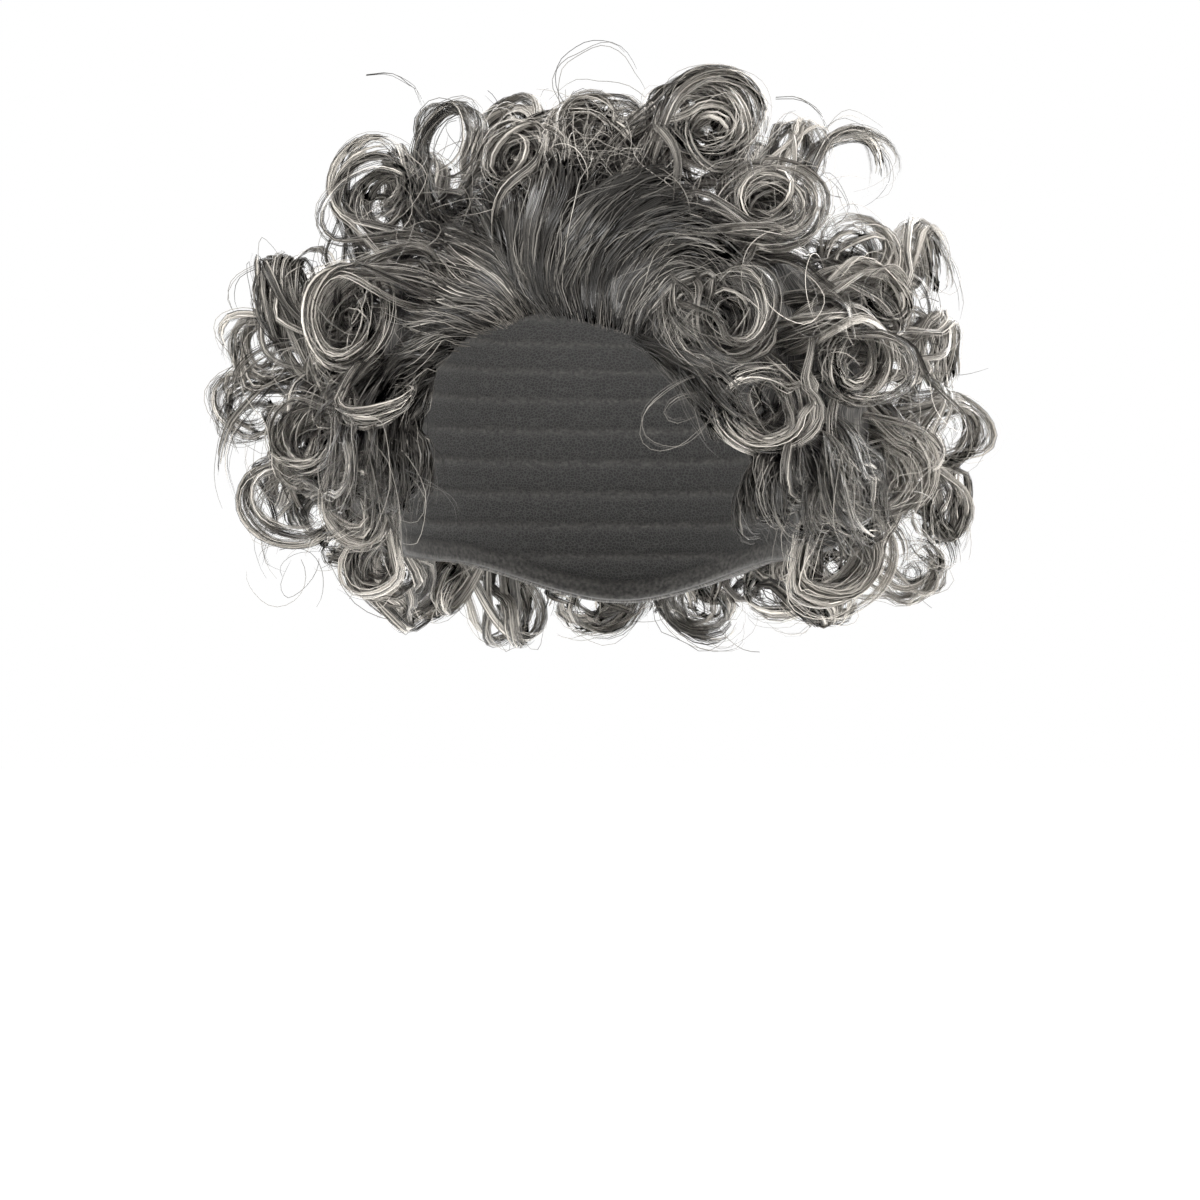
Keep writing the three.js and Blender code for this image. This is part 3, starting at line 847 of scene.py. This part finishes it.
def strand_tree(strand_material, bundle_material):
    """Fills each lock with bundles and strands: guides come in as edges, and swept hair goes out."""
    tree = bpy.data.node_groups.new("hair_strands", "GeometryNodeTree")
    face = tree.interface
    face.new_socket("Geometry", in_out="INPUT", socket_type="NodeSocketGeometry")
    for name, kind, value in STRAND_INPUTS:
        face.new_socket(name, in_out="INPUT", socket_type=kind).default_value = value
    face.new_socket("Geometry", in_out="OUTPUT", socket_type="NodeSocketGeometry")
    g = Graph(tree)
    source = tree.nodes.new("NodeGroupInput")
    given = {s.name: Wire(g, s) for s in source.outputs if s.name}
    strand = g.add("GeometryNodeCurveOfPoint", out="Curve Index")
    along = g.add("GeometryNodeSplineParameter", out="Factor")

    def stored(name, kind="FLOAT"):
        return g.add("GeometryNodeInputNamedAttribute", {"data_type": kind}, {"Name": name})

    def chance(low, high, salt, kind="FLOAT", by_point=True):
        """A random value for each strand; its salt tells one such choice from another."""
        values = {"Min": low, "Max": high, "Seed": given["Seed"] * 32 + salt}
        if by_point:
            values["ID"] = strand
        return g.add("FunctionNodeRandomValue", {"data_type": kind}, values)

    def kept(geometry, name, value, kind="FLOAT", domain="POINT"):
        settings = {"data_type": kind, "domain": domain}
        values = {"Geometry": geometry, "Name": name, "Value": value}
        return g.add("GeometryNodeStoreNamedAttribute", settings, values)

    def smoothed(curve):
        curve = g.add("GeometryNodeCurveSplineType", {"spline_type": "CATMULL_ROM"}, {"Curve": curve})
        return g.add("GeometryNodeSetSplineResolution", None, {"Geometry": curve, "Resolution": 6})

    def divided(curve):
        points = g.add("GeometryNodeSplineLength", out="Length") / given["Segment"] + 2
        return g.add("GeometryNodeResampleCurve", {"mode": "COUNT"}, {"Curve": curve, "Count": points})

    def swept_along(curve, sides, ring_size, flatness, scale, bundle):
        """A closed tube along each curve, on a flat map with a tile for each level of tone."""
        ring = g.add("GeometryNodeCurvePrimitiveCircle", {"mode": "RADIUS"},
                     {"Resolution": sides, "Radius": 1.0})
        sideways = g.add("ShaderNodeSeparateXYZ", None, {0: place}, out="X") * 0.5 + 0.5
        ring = kept(ring, "across", sideways if bundle else along)
        size = g.add("ShaderNodeCombineXYZ", None, {"X": 1.0, "Y": flatness, "Z": 1.0})
        ring = g.add("GeometryNodeSetPosition", None, {
            "Geometry": ring,
            "Position": g.scaled(
                g.add("ShaderNodeVectorMath", {"operation": "MULTIPLY"}, {0: place, 1: size}),
                ring_size,
            ),
        })
        tube = g.add("GeometryNodeCurveToMesh", None, {
            "Curve": kept(curve, "along", along), "Profile Curve": ring, "Fill Caps": True,
            "Scale": scale,
        })
        tube = kept(tube, "bundle", float(bundle))
        level = stored("tone") * (TONE_LEVELS - 1)
        row = (level / MAP_COLUMNS + 0.01).maths("FLOOR")
        column = level - row * MAP_COLUMNS
        flat = g.add("ShaderNodeCombineXYZ", None, {
            "X": (column + stored("across") * TILE_SHARE + TILE_MARGIN) / MAP_COLUMNS,
            "Y": (row + stored("along") * TILE_SHARE + TILE_MARGIN) / (2 * MAP_COLUMNS) + 0.5 * bundle,
        })
        return kept(tube, "OFBake", flat, "FLOAT2", "CORNER")

    def levelled(value):
        """A tone from 0 to 1 in a few levels."""
        held = g.add("ShaderNodeClamp", None, {"Value": value}) * (TONE_LEVELS - 1)
        return held.maths("ROUND") / (TONE_LEVELS - 1)

    place = g.add("GeometryNodeInputPosition")
    curves = g.add("GeometryNodeMeshToCurve", None, {"Mesh": given["Geometry"]})

    def grown(amount, salt, closest, farthest, stray, ripple_size, spread):
        """Copies of each guide, each with its place across the lock, slow twist, ripple and length."""
        copies = g.add("GeometryNodeDuplicateElements", {"domain": "SPLINE"},
                       {"Geometry": curves, "Amount": stored(amount, "INT")})
        off = chance(closest, farthest, salt) * (1 + stray * given["Stray Reach"] * along)
        angle = chance(0.0, math.tau, salt + 1)
        angle = angle + along * given["Twist"] * chance(-1.0, 1.0, salt + 2)
        across = angle.maths("COSINE") * off * stored("width")
        deep = angle.maths("SINE") * off * stored("thick")
        shift = chance((-9.0, -9.0, -9.0), (9.0, 9.0, 9.0), salt + 3, "FLOAT_VECTOR")
        ripple_place = g.summed(g.scaled(place, given["Frizz Scale"]), shift)
        ripple = g.add("ShaderNodeTexNoise", None,
                       {"Vector": ripple_place, "Scale": 1.0, "Detail": 1.0}, out="Color")
        loose = given["Frizz"] * ripple_size * (1 + stray) * (0.25 + along)
        moved = g.add("GeometryNodeSetPosition", None, {
            "Geometry": copies,
            "Offset": g.summed(
                g.scaled(stored("side", "FLOAT_VECTOR"), across),
                g.scaled(stored("up", "FLOAT_VECTOR"), deep),
                g.scaled(g.summed(ripple, (-0.5, -0.5, -0.5)), loose),
            ),
        })
        moved = g.add("GeometryNodeTrimCurve", {"mode": "FACTOR"}, {
            "Curve": smoothed(moved), "Start": 0.0,
            "End": chance(given["Shortest"], 1.0, salt + 4, by_point=False),
        })
        uneven = chance(-1.0, 1.0, salt + 5) + chance(-0.7, 0.7, salt + 6)
        tone = stored("shade") + given["Tone Spread"] * spread * uneven
        return kept(divided(moved), "tone", levelled(tone))

    # Flat bundles, which are drawn as fine strands with gaps
    bundles = grown("bundles", 1, 0.1, 0.8, 0.0, 0.7, 0.5)
    bundles = g.add("GeometryNodeSetCurveNormal", {"mode": "FREE"},
                    {"Curve": bundles, "Normal": stored("side", "FLOAT_VECTOR")})
    tilt = chance(-0.5, 0.5, 8) + along * chance(-0.8, 0.8, 9)
    bundles = g.add("GeometryNodeSetCurveTilt", None, {"Curve": bundles, "Tilt": tilt})
    rooted = g.add("ShaderNodeMapRange", None,
                   {"Value": along, "From Min": 0.0, "From Max": 0.25, "To Min": 0.3, "To Max": 1.0})
    fullness = rooted * (1 - along ** 4 * 0.5) * stored("width") * given["Bundle Share"]
    fullness = fullness * chance(0.6, 1.2, 10)
    bundles = swept_along(bundles, BUNDLE_SIDES, 1.0, given["Bundle Flatness"], fullness, 1)

    # Single strands, round and tapered to the tip
    luck = chance(0.0, 1.0, 11)
    stray = luck.maths("LESS_THAN", given["Stray Share"])
    hairs = grown("strands", 12, 0.4, 1.2, stray, 1.0, 1.0)
    taper = (1 - along ** 5 * 0.65) * chance(0.75, 1.3, 20)
    hairs = swept_along(hairs, STRAND_SIDES, given["Strand Radius"], 1.0, taper, 0)

    swept = g.add("GeometryNodeJoinGeometry", None, {0: hairs})
    g.tree.links.new(bundles.socket, swept.socket.node.inputs[0])
    swept = g.add("GeometryNodeSetShadeSmooth", None, {"Geometry": swept})
    rim = (stored("across") - 0.5).maths("ABSOLUTE").maths("GREATER_THAN", 0.499)
    swept = g.add("GeometryNodeSetShadeSmooth", {"domain": "EDGE"}, {
        "Geometry": swept, "Selection": rim * stored("bundle"), "Shade Smooth": False,
    })
    swept = g.add("GeometryNodeRealizeInstances", None, {"Geometry": swept})
    swept = g.add("GeometryNodeSetMaterial", None, {"Geometry": swept, "Material": strand_material})
    swept = g.add("GeometryNodeSetMaterial", None, {
        "Geometry": swept, "Selection": stored("bundle"), "Material": bundle_material,
    })
    g.add("NodeGroupOutput", None, {0: swept})
    return tree


def guide_mesh(name, locks):
    """The locks' paths as edges, with what the strands need at each point."""
    mesh = bpy.data.meshes.new(name)
    points = np.vstack([one.path for one in locks]) * MM
    edges, first = [], 0
    repeats = [len(one.path) for one in locks]
    for length in repeats:
        edges += [(first + k, first + k + 1) for k in range(length - 1)]
        first += length
    mesh.from_pydata(points.tolist(), edges, [])

    def store(key, kind, field, values):
        layer = mesh.attributes.new(key, kind, "POINT")
        layer.data.foreach_set(field, np.ascontiguousarray(values).ravel())

    for key in ("side", "up"):
        values = np.vstack([getattr(one, key) for one in locks]).astype(np.float32)
        store(key, "FLOAT_VECTOR", "vector", values)
    for key in ("width", "thick"):
        values = np.concatenate([getattr(one, key) for one in locks]) * MM
        store(key, "FLOAT", "value", values.astype(np.float32))
    for key, kind, form in (
        ("strands", "INT", np.int32), ("bundles", "INT", np.int32), ("shade", "FLOAT", np.float32),
    ):
        store(key, kind, "value", np.repeat([getattr(one, key) for one in locks], repeats).astype(form))
    return mesh


def evaluated_copy(source, name):
    """The object's evaluated shape as a plain mesh in a new object, in place of the old one."""
    bpy.context.view_layer.update()
    graph = bpy.context.evaluated_depsgraph_get()
    mesh = bpy.data.meshes.new_from_object(
        source.evaluated_get(graph), preserve_all_data_layers=True, depsgraph=graph,
    )
    mesh.name = name
    bpy.data.objects.remove(source)
    piece = bpy.data.objects.new(name, mesh)
    bpy.context.scene.collection.objects.link(piece)
    return piece


piece_seeds = count(1)


def strand_piece(name, locks, tree, stands_for=None, **sizes):
    """A piece of hair made of locks, riding on the wig."""
    source = bpy.data.objects.new(name + "_guides", guide_mesh(name + "_guides", locks))
    bpy.context.scene.collection.objects.link(source)
    modifier = source.modifiers.new("strands", "NODES")
    modifier.node_group = tree
    identifiers = {s.name: s.identifier for s in tree.interface.items_tree if s.in_out == "INPUT"}
    modifier[identifiers["Seed"]] = next(piece_seeds)
    for key, value in sizes.items():
        modifier[identifiers[key.replace("_", " ").title()]] = value
    piece = evaluated_copy(source, name)
    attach(piece, BODY)
    if stands_for:
        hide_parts(stands_for)
    return piece


# Materials

HAIR_STOPS = (
    (0.00, (0.012, 0.0112, 0.0102)),
    (0.30, (0.042, 0.0392, 0.0352)),
    (0.55, (0.110, 0.1025, 0.0915)),
    (0.80, (0.250, 0.2330, 0.2080)),
    (1.00, (0.400, 0.3730, 0.3350)),
)
ROOT_SHADE = (0.25, 0.24, 0.23, 1.0)
# The hair under the locks is near-black: painted shade under the locks
UNDER_SHADE_STOPS = (
    (0.35, (0.006, 0.0056, 0.005)),
    (0.52, (0.026, 0.024, 0.022)),
    (0.70, (0.090, 0.084, 0.075)),
)
NET_DARK = (0.010, 0.0095, 0.009, 1.0)
NET_THREAD = (0.030, 0.029, 0.0275, 1.0)
WEFT_STOPS = (
    (0.3, (0.010, 0.0095, 0.009)),
    (0.7, (0.050, 0.047, 0.043)),
)

# Moves the drawn strands on from one tone to the next, so that no two tones look alike
TONE_APART = 97.0

# How many strands a bundle is drawn as
BUNDLE_LINES = 11.0


class Finish(Graph):
    """A material's nodes, which end in one shader."""

    def __init__(self, name):
        self.material = bpy.data.materials.new(name)
        self.material.use_nodes = True
        super().__init__(self.material.node_tree)
        self.tree.nodes.clear()

    def finished(self, values):
        shader = self.add("ShaderNodeBsdfPrincipled", None, values)
        self.add("ShaderNodeOutputMaterial", None, {"Surface": shader})
        return self.material

    def bumped(self, height, strength, distance):
        values = {"Strength": strength, "Distance": distance, "Height": height}
        return self.add("ShaderNodeBump", None, values)


class HairFinish(Finish):
    """A hair material, which reads a strand's tone and the place along and across it."""

    def __init__(self, name):
        super().__init__(name)
        self.tone, self.along, self.across = (
            self.add("ShaderNodeAttribute", {"attribute_name": key}, out="Fac")
            for key in ("tone", "along", "across")
        )

    def streaks(self, fineness, length):
        """Uneven streaks, by how fine they are across and how often they change along."""
        spot = self.add("ShaderNodeCombineXYZ", None, {
            "X": self.across * fineness + self.tone * TONE_APART, "Y": self.along * length,
        })
        return self.add("ShaderNodeTexNoise", {"noise_dimensions": "2D"},
                        {"Vector": spot, "Scale": 1.0, "Detail": 1.0})

    def coloured(self, shade, values):
        """Ends the material, darker at the roots, where little light comes in."""
        colour = self.add("ShaderNodeValToRGB", {"stops": HAIR_STOPS}, {"Fac": shade})
        colour = self.add("ShaderNodeMix", {"data_type": "RGBA", "blend_type": "MULTIPLY"}, {
            "Factor": self.eased(self.along, 0.0, 0.35, 0.8, 0.0), "A": colour, "B": ROOT_SHADE,
        }, out="Result")
        return self.finished({
            "Base Color": colour, "Roughness": 0.4, "Specular IOR Level": 0.2, **values,
        })


def strand_material():
    """Single hairs: each has a tone that changes a little along it."""
    g = HairFinish("grey_hair")
    return g.coloured(g.tone + (g.streaks(0.0, 4.0) - 0.5) * 0.4, {})


def bundle_material():
    """Bundles of hair, drawn as strands side by side that end one by one towards the tip, with painted
    glints on a few strands and painted shade at each strand's edges.
    """
    g = HairFinish("grey_hair_bundle")
    place = g.across * BUNDLE_LINES + g.streaks(4.0, 3.0) * 2.5
    number = place.maths("FLOOR")
    mixed = g.add("ShaderNodeTexWhiteNoise", {"noise_dimensions": "2D"}, {
        "Vector": g.add("ShaderNodeCombineXYZ", None, {"X": number, "Y": g.tone * TONE_APART}),
    }, out="Color")
    lightness, length, painted_glint = (
        g.add("ShaderNodeSeparateColor", None, {"Color": mixed}, out=name)
        for name in ("Red", "Green", "Blue")
    )
    within = 1 - (1 - (place - number) * 2).maths("ABSOLUTE")
    edge = (g.across * 2 - 1) ** 2
    shade = g.tone * (lightness * 1.1 + 0.4) + (lightness - 0.5) * 0.4
    # A few strands get a painted glint, and each strand's edges get painted shade
    shade = shade + g.eased(painted_glint, 0.76, 0.84) * (0.42 - g.tone * 0.4) - (1 - within) * 0.3
    shade = shade + (g.streaks(6.0, 5.0) - 0.5) * 0.3
    ends = 0.99 - length * 0.5 - edge * length * 0.8
    begun = g.eased(g.along - lightness * 0.12, 0.0, 0.02)
    return g.coloured(shade, {
        "Alpha": g.eased(within, 0.15, 0.35) * g.eased(ends - g.along, 0.0, 0.02) * begun,
        "Normal": g.bumped(within, 0.7, 0.00015),
    })


def under_material():
    """The hair under the locks, as strands that run down from the crown, near-black as painted shade.
    """
    g = Finish("under_hair_shade")
    place = g.add("ShaderNodeTexCoord", out="Object")
    across, back, up = (
        g.add("ShaderNodeSeparateXYZ", None, {0: place}, out=name) for name in ("X", "Y", "Z")
    )
    stir = g.add("ShaderNodeTexNoise", None, {"Vector": place, "Scale": 28.0, "Detail": 1.0})
    round_it = across.maths("ARCTAN2", back) * 55.0 + stir * 14.0
    spot = g.add("ShaderNodeCombineXYZ", None, {"X": round_it, "Y": up * 25.0})
    lines = g.add("ShaderNodeTexNoise", {"noise_dimensions": "2D"},
                  {"Vector": spot, "Scale": 4.0, "Detail": 2.0})
    return g.finished({
        "Base Color": g.add("ShaderNodeValToRGB", {"stops": UNDER_SHADE_STOPS}, {"Fac": lines}),
        "Roughness": 0.6, "Specular IOR Level": 0.3, "Normal": g.bumped(lines, 0.8, 0.0008),
    })


def cap_material():
    """Dark net with rows of sewn wefts and a bound edge, which the mesh marks."""
    g = Finish("cap_net")
    place = g.add("ShaderNodeTexCoord", out="Object")
    sewn = g.add("ShaderNodeAttribute", {"attribute_name": "sewn"}, out="Fac")
    holes = g.add("ShaderNodeTexVoronoi", {"feature": "DISTANCE_TO_EDGE"},
                  {"Vector": place, "Scale": 800.0}, out="Distance")
    threads = g.eased(holes, 0.04, 0.16, 1.0, 0.0)
    grain = g.add("ShaderNodeTexNoise", None, {"Vector": place, "Scale": 700.0, "Detail": 2.0})
    net = g.add("ShaderNodeMix", {"data_type": "RGBA"}, {
        "Factor": threads, "A": NET_DARK, "B": NET_THREAD,
    }, out="Result")
    weft = g.add("ShaderNodeValToRGB", {"stops": WEFT_STOPS}, {"Fac": grain})
    colour = g.add("ShaderNodeMix", {"data_type": "RGBA"},
                   {"Factor": sewn, "A": net, "B": weft}, out="Result")
    return g.finished({
        "Base Color": colour, "Roughness": 0.8,
        "Normal": g.bumped(threads * (1 - sewn) + grain * sewn, 0.5, 0.0004),
    })


# Shells

def dome_grid(columns, shares, height):
    """Points of a dome on the head, ring by ring, after the crown."""
    around = np.arange(columns) * 360 / columns
    rings = [raised(head_point(np.zeros(1), np.zeros(1)), np.full(1, height(0.0, 0.0)))]
    for share in shares:
        foot = head_point(around, share * edge_value(around, EDGE_DOWN))
        rings.append(raised(foot, np.broadcast_to(height(around, share), columns)))
    return np.vstack(rings)


def dome_faces(columns, rows, first=0, turned=False):
    """Faces of such a dome, pointing outwards, or inwards if turned."""
    def at(row, column):
        return first + 1 + (row - 1) * columns + column % columns

    faces = [(first, at(1, c), at(1, c + 1)) for c in range(columns)]
    for row in range(1, rows):
        faces += [
            (at(row, c), at(row + 1, c), at(row + 1, c + 1), at(row, c + 1)) for c in range(columns)
        ]
    return [face[::-1] for face in faces] if turned else faces


def shell_piece(name, material, columns, outer, outer_rows, inner, inner_rows, marked=None):
    """A closed wall between two heights above the head, with its inside marked where it is sewn."""
    outside = dome_grid(columns, np.arange(1, outer_rows + 1) / outer_rows, outer)
    inside = dome_grid(columns, np.arange(1, inner_rows + 1) / inner_rows, inner)
    first = len(outside)
    faces = dome_faces(columns, outer_rows) + dome_faces(columns, inner_rows, first, turned=True)
    rim, inner_rim = first - columns, first + len(inside) - columns
    for c in range(columns):
        after = (c + 1) % columns
        faces.append((rim + c, inner_rim + c, inner_rim + after, rim + after))
    mesh = bpy.data.meshes.new(name)
    mesh.from_pydata((np.vstack([outside, inside]) * MM).tolist(), [], faces)
    mesh.polygons.foreach_set("use_smooth", [True] * len(mesh.polygons))
    mesh.materials.append(material)
    if marked:
        around = np.arange(columns) * 360 / columns
        marks = [marked(around, row / inner_rows) for row in range(1, inner_rows + 1)]
        marks = np.concatenate([np.zeros(first), marked(0.0, 0.0).reshape(1), *marks])
        layer = mesh.attributes.new("sewn", "FLOAT", "POINT")
        layer.data.foreach_set("value", marks.astype(np.float32))
    piece = bpy.data.objects.new(name, mesh)
    bpy.context.scene.collection.objects.link(piece)
    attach(piece, BODY)
    return piece


# Heights of the hair under the locks, which is painted dark as shade: the least, then shares of the
# layer's depth
UNDER_LEAST = 2.2
UNDER_FRONT = 0.10
UNDER_SIDES = 0.58
UNDER_CROWN = 0.45
UNDER_LUMPS = 0.12


def under_height(around, share):
    """The hair under the locks, painted dark as shade, low along the hairline and lumpy elsewhere."""
    beside = smooth(from_hairline(around), 38, 75) * smooth(share, 0.05, 0.3)
    full = UNDER_FRONT + UNDER_SIDES * beside
    full = np.maximum(full, UNDER_CROWN * (1 - smooth(share, 0.3, 0.6)))
    lumps = 1 + UNDER_LUMPS * np.sin(np.radians(around) * 11 + 9 * share) * np.sin(19 * share)
    return UNDER_LEAST + full * lumps * layer_depth(around, share)


# Rows of sewn wefts, in degrees down from the crown, and how far the net lies back from them
WEFT_SPACING = 7.5
WEFT_HALF = 1.1
NET_INSET = 0.6


def cap_sewn(around, share):
    """1 on the rows of sewn wefts and on the bound edge, 0 on the net between."""
    down = share * edge_value(around, EDGE_DOWN)
    away = np.abs(np.mod(down + WEFT_SPACING / 2, WEFT_SPACING) - WEFT_SPACING / 2)
    weft = 1 - smooth(away, 0.3 * WEFT_HALF, WEFT_HALF)
    return np.maximum(weft, smooth(share, 0.955, 0.965))


def cap_inside(around, share):
    """The inside of the cap: what is sewn stands in from the net."""
    return NET_INSET * (1 - cap_sewn(around, share))


def cap_outside(around, share):
    return CAP_WALL


def under_inside(around, share):
    return HAIR_INNER


# Stage

def make_camera():
    camera = bpy.data.objects.new("camera", bpy.data.cameras.new("camera"))
    bpy.context.scene.collection.objects.link(camera)
    camera.data.lens = LENS_MM
    camera.data.sensor_width = SENSOR_MM
    camera.location = (0, -CAMERA_BACK * MM, CAMERA_HEIGHT * MM)
    camera.rotation_euler = (math.pi / 2, 0, 0)
    bpy.context.scene.camera = camera


# Lights and floor, in metres and watts
LIGHTS = table(
    "name place size power",
    ("key", (-0.9, -1.3, 1.0), 0.7, 82.0),
    ("fill", (1.3, -1.0, 0.4), 0.9, 56.0),
    ("rim_right", (-1.1, 1.3, 0.9), 0.8, 56.0),
    ("rim_left", (1.2, 1.3, 0.8), 0.8, 66.0),
)
LIGHTS_AIM = (0, 0, -0.06)
SHADE_LIGHT = 0.35
FLOOR_HEIGHT = -0.36
FLOOR_HALF = 4.0


def make_lights():
    for row in LIGHTS:
        lamp = bpy.data.objects.new(row.name, bpy.data.lights.new(row.name, "AREA"))
        bpy.context.scene.collection.objects.link(lamp)
        lamp.data.shape = "DISK"
        lamp.data.size = row.size
        lamp.data.energy = row.power
        lamp.location = row.place
        aim = Vector(LIGHTS_AIM) - Vector(row.place)
        lamp.rotation_euler = aim.to_track_quat("-Z", "Y").to_euler()


def make_world():
    """A white backdrop that lights the hair softly."""
    world = bpy.data.worlds.new("studio")
    bpy.context.scene.world = world
    world.use_nodes = True
    world.node_tree.nodes.clear()
    g = Graph(world.node_tree)
    seen = g.add("ShaderNodeLightPath", out="Is Camera Ray")
    soft = g.add("ShaderNodeBackground", None, {"Color": (1, 1, 1, 1), "Strength": SHADE_LIGHT})
    white = g.add("ShaderNodeBackground", None, {"Color": (1, 1, 1, 1), "Strength": 1.0})
    both = g.add("ShaderNodeMixShader", None, {0: seen, 1: soft, 2: white})
    g.add("ShaderNodeOutputWorld", None, {"Surface": both})
    bpy.context.scene.view_settings.view_transform = "Standard"


def make_floor():
    mesh = bpy.data.meshes.new("floor")
    corners = ((-1, -1), (1, -1), (1, 1), (-1, 1))
    mesh.from_pydata([(x * FLOOR_HALF, y * FLOOR_HALF, FLOOR_HEIGHT) for x, y in corners],
                     [], [(0, 1, 2, 3)])
    floor = bpy.data.objects.new("floor", mesh)
    bpy.context.scene.collection.objects.link(floor)
    mesh.materials.append(Finish("pale_floor").finished({
        "Base Color": (0.9, 0.9, 0.89, 1.0), "Roughness": 0.8,
        "Emission Color": (1.0, 1.0, 1.0, 1.0), "Emission Strength": 0.75,
    }))


# Seeds of the pieces' locks; a curl that isn't named here takes its own number
SWEEP_SEED = 3
SPRINGY_SEED = 5
STRAY_SEED = 7
CURL_SEEDS = {
    "right_curl_1": 21, "right_curl_4": 35, "right_curl_5": 33, "right_curl_9": 43,
    "left_curl_2": 37, "left_curl_3": 22, "left_curl_4": 23, "left_curl_11": 40, "left_curl_12": 32,
    "top_curl_2": 31, "back_curl_10": 45, "back_curl_11": 44, "back_curl_15": 41, "back_curl_17": 42,
    "back_curl_21": 43,
}

make_camera()
make_lights()
make_world()
make_floor()

strands = strand_tree(strand_material(), bundle_material())
under = shell_piece(
    "under_hair", under_material(), columns=96,
    outer=under_height, outer_rows=40, inner=under_inside, inner_rows=12,
)
cap = shell_piece(
    "net_cap", cap_material(), columns=112,
    outer=cap_outside, outer_rows=14, inner=cap_inside, inner_rows=110, marked=cap_sewn,
)
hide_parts("wig_cap")
restart(SWEEP_SEED)
combed = sum((spread_locks(spread) for spread in COMBED_SPREADS), [])
edging = sum((spread_locks(spread) for spread in EDGE_SPREADS), [])
strand_piece("combed_locks", combed, strands, "combed_hair", Frizz=COMBED_FRIZZ)
for name, layer in zip(("springy_locks", "loose_locks", "crown_locks"), SPRINGY_LAYERS):
    restart(SPRINGY_SEED)
    strand_piece(name, springy_locks(layer), strands, Segment=CURL_SEGMENT)
restart(STRAY_SEED)
strand_piece("stray_hairs", stray_locks(), strands, Strand_Radius=STRAY_RADIUS, Segment=STRAY_SEGMENT)
for side, rows in (("right", RIGHT_CURLS), ("left", LEFT_CURLS), ("top", TOP_CURLS)):
    for number, row in enumerate(rows, 1):
        node = f"{side}_curl_{number}"
        restart(CURL_SEEDS.get(node, number))
        locks = curl_locks(placed_curl(row), *CURL_FORMS.get(node, (RING_SORTS, 1.0)))
        strand_piece(node + "_lock", locks, strands, node, Segment=CURL_SEGMENT)
for number, curl in enumerate(back_curls(), 1):
    node = f"back_curl_{number}"
    restart(CURL_SEEDS.get(node, number))
    locks = curl_locks(curl, RING_SORTS, BACK_FILLED)
    strand_piece(node + "_lock", locks, strands, node, Segment=BACK_SEGMENT)
# Each piece made so far counts in the next one's seed, so this one comes last
strand_piece("edge_locks", edging, strands, Frizz=COMBED_FRIZZ)
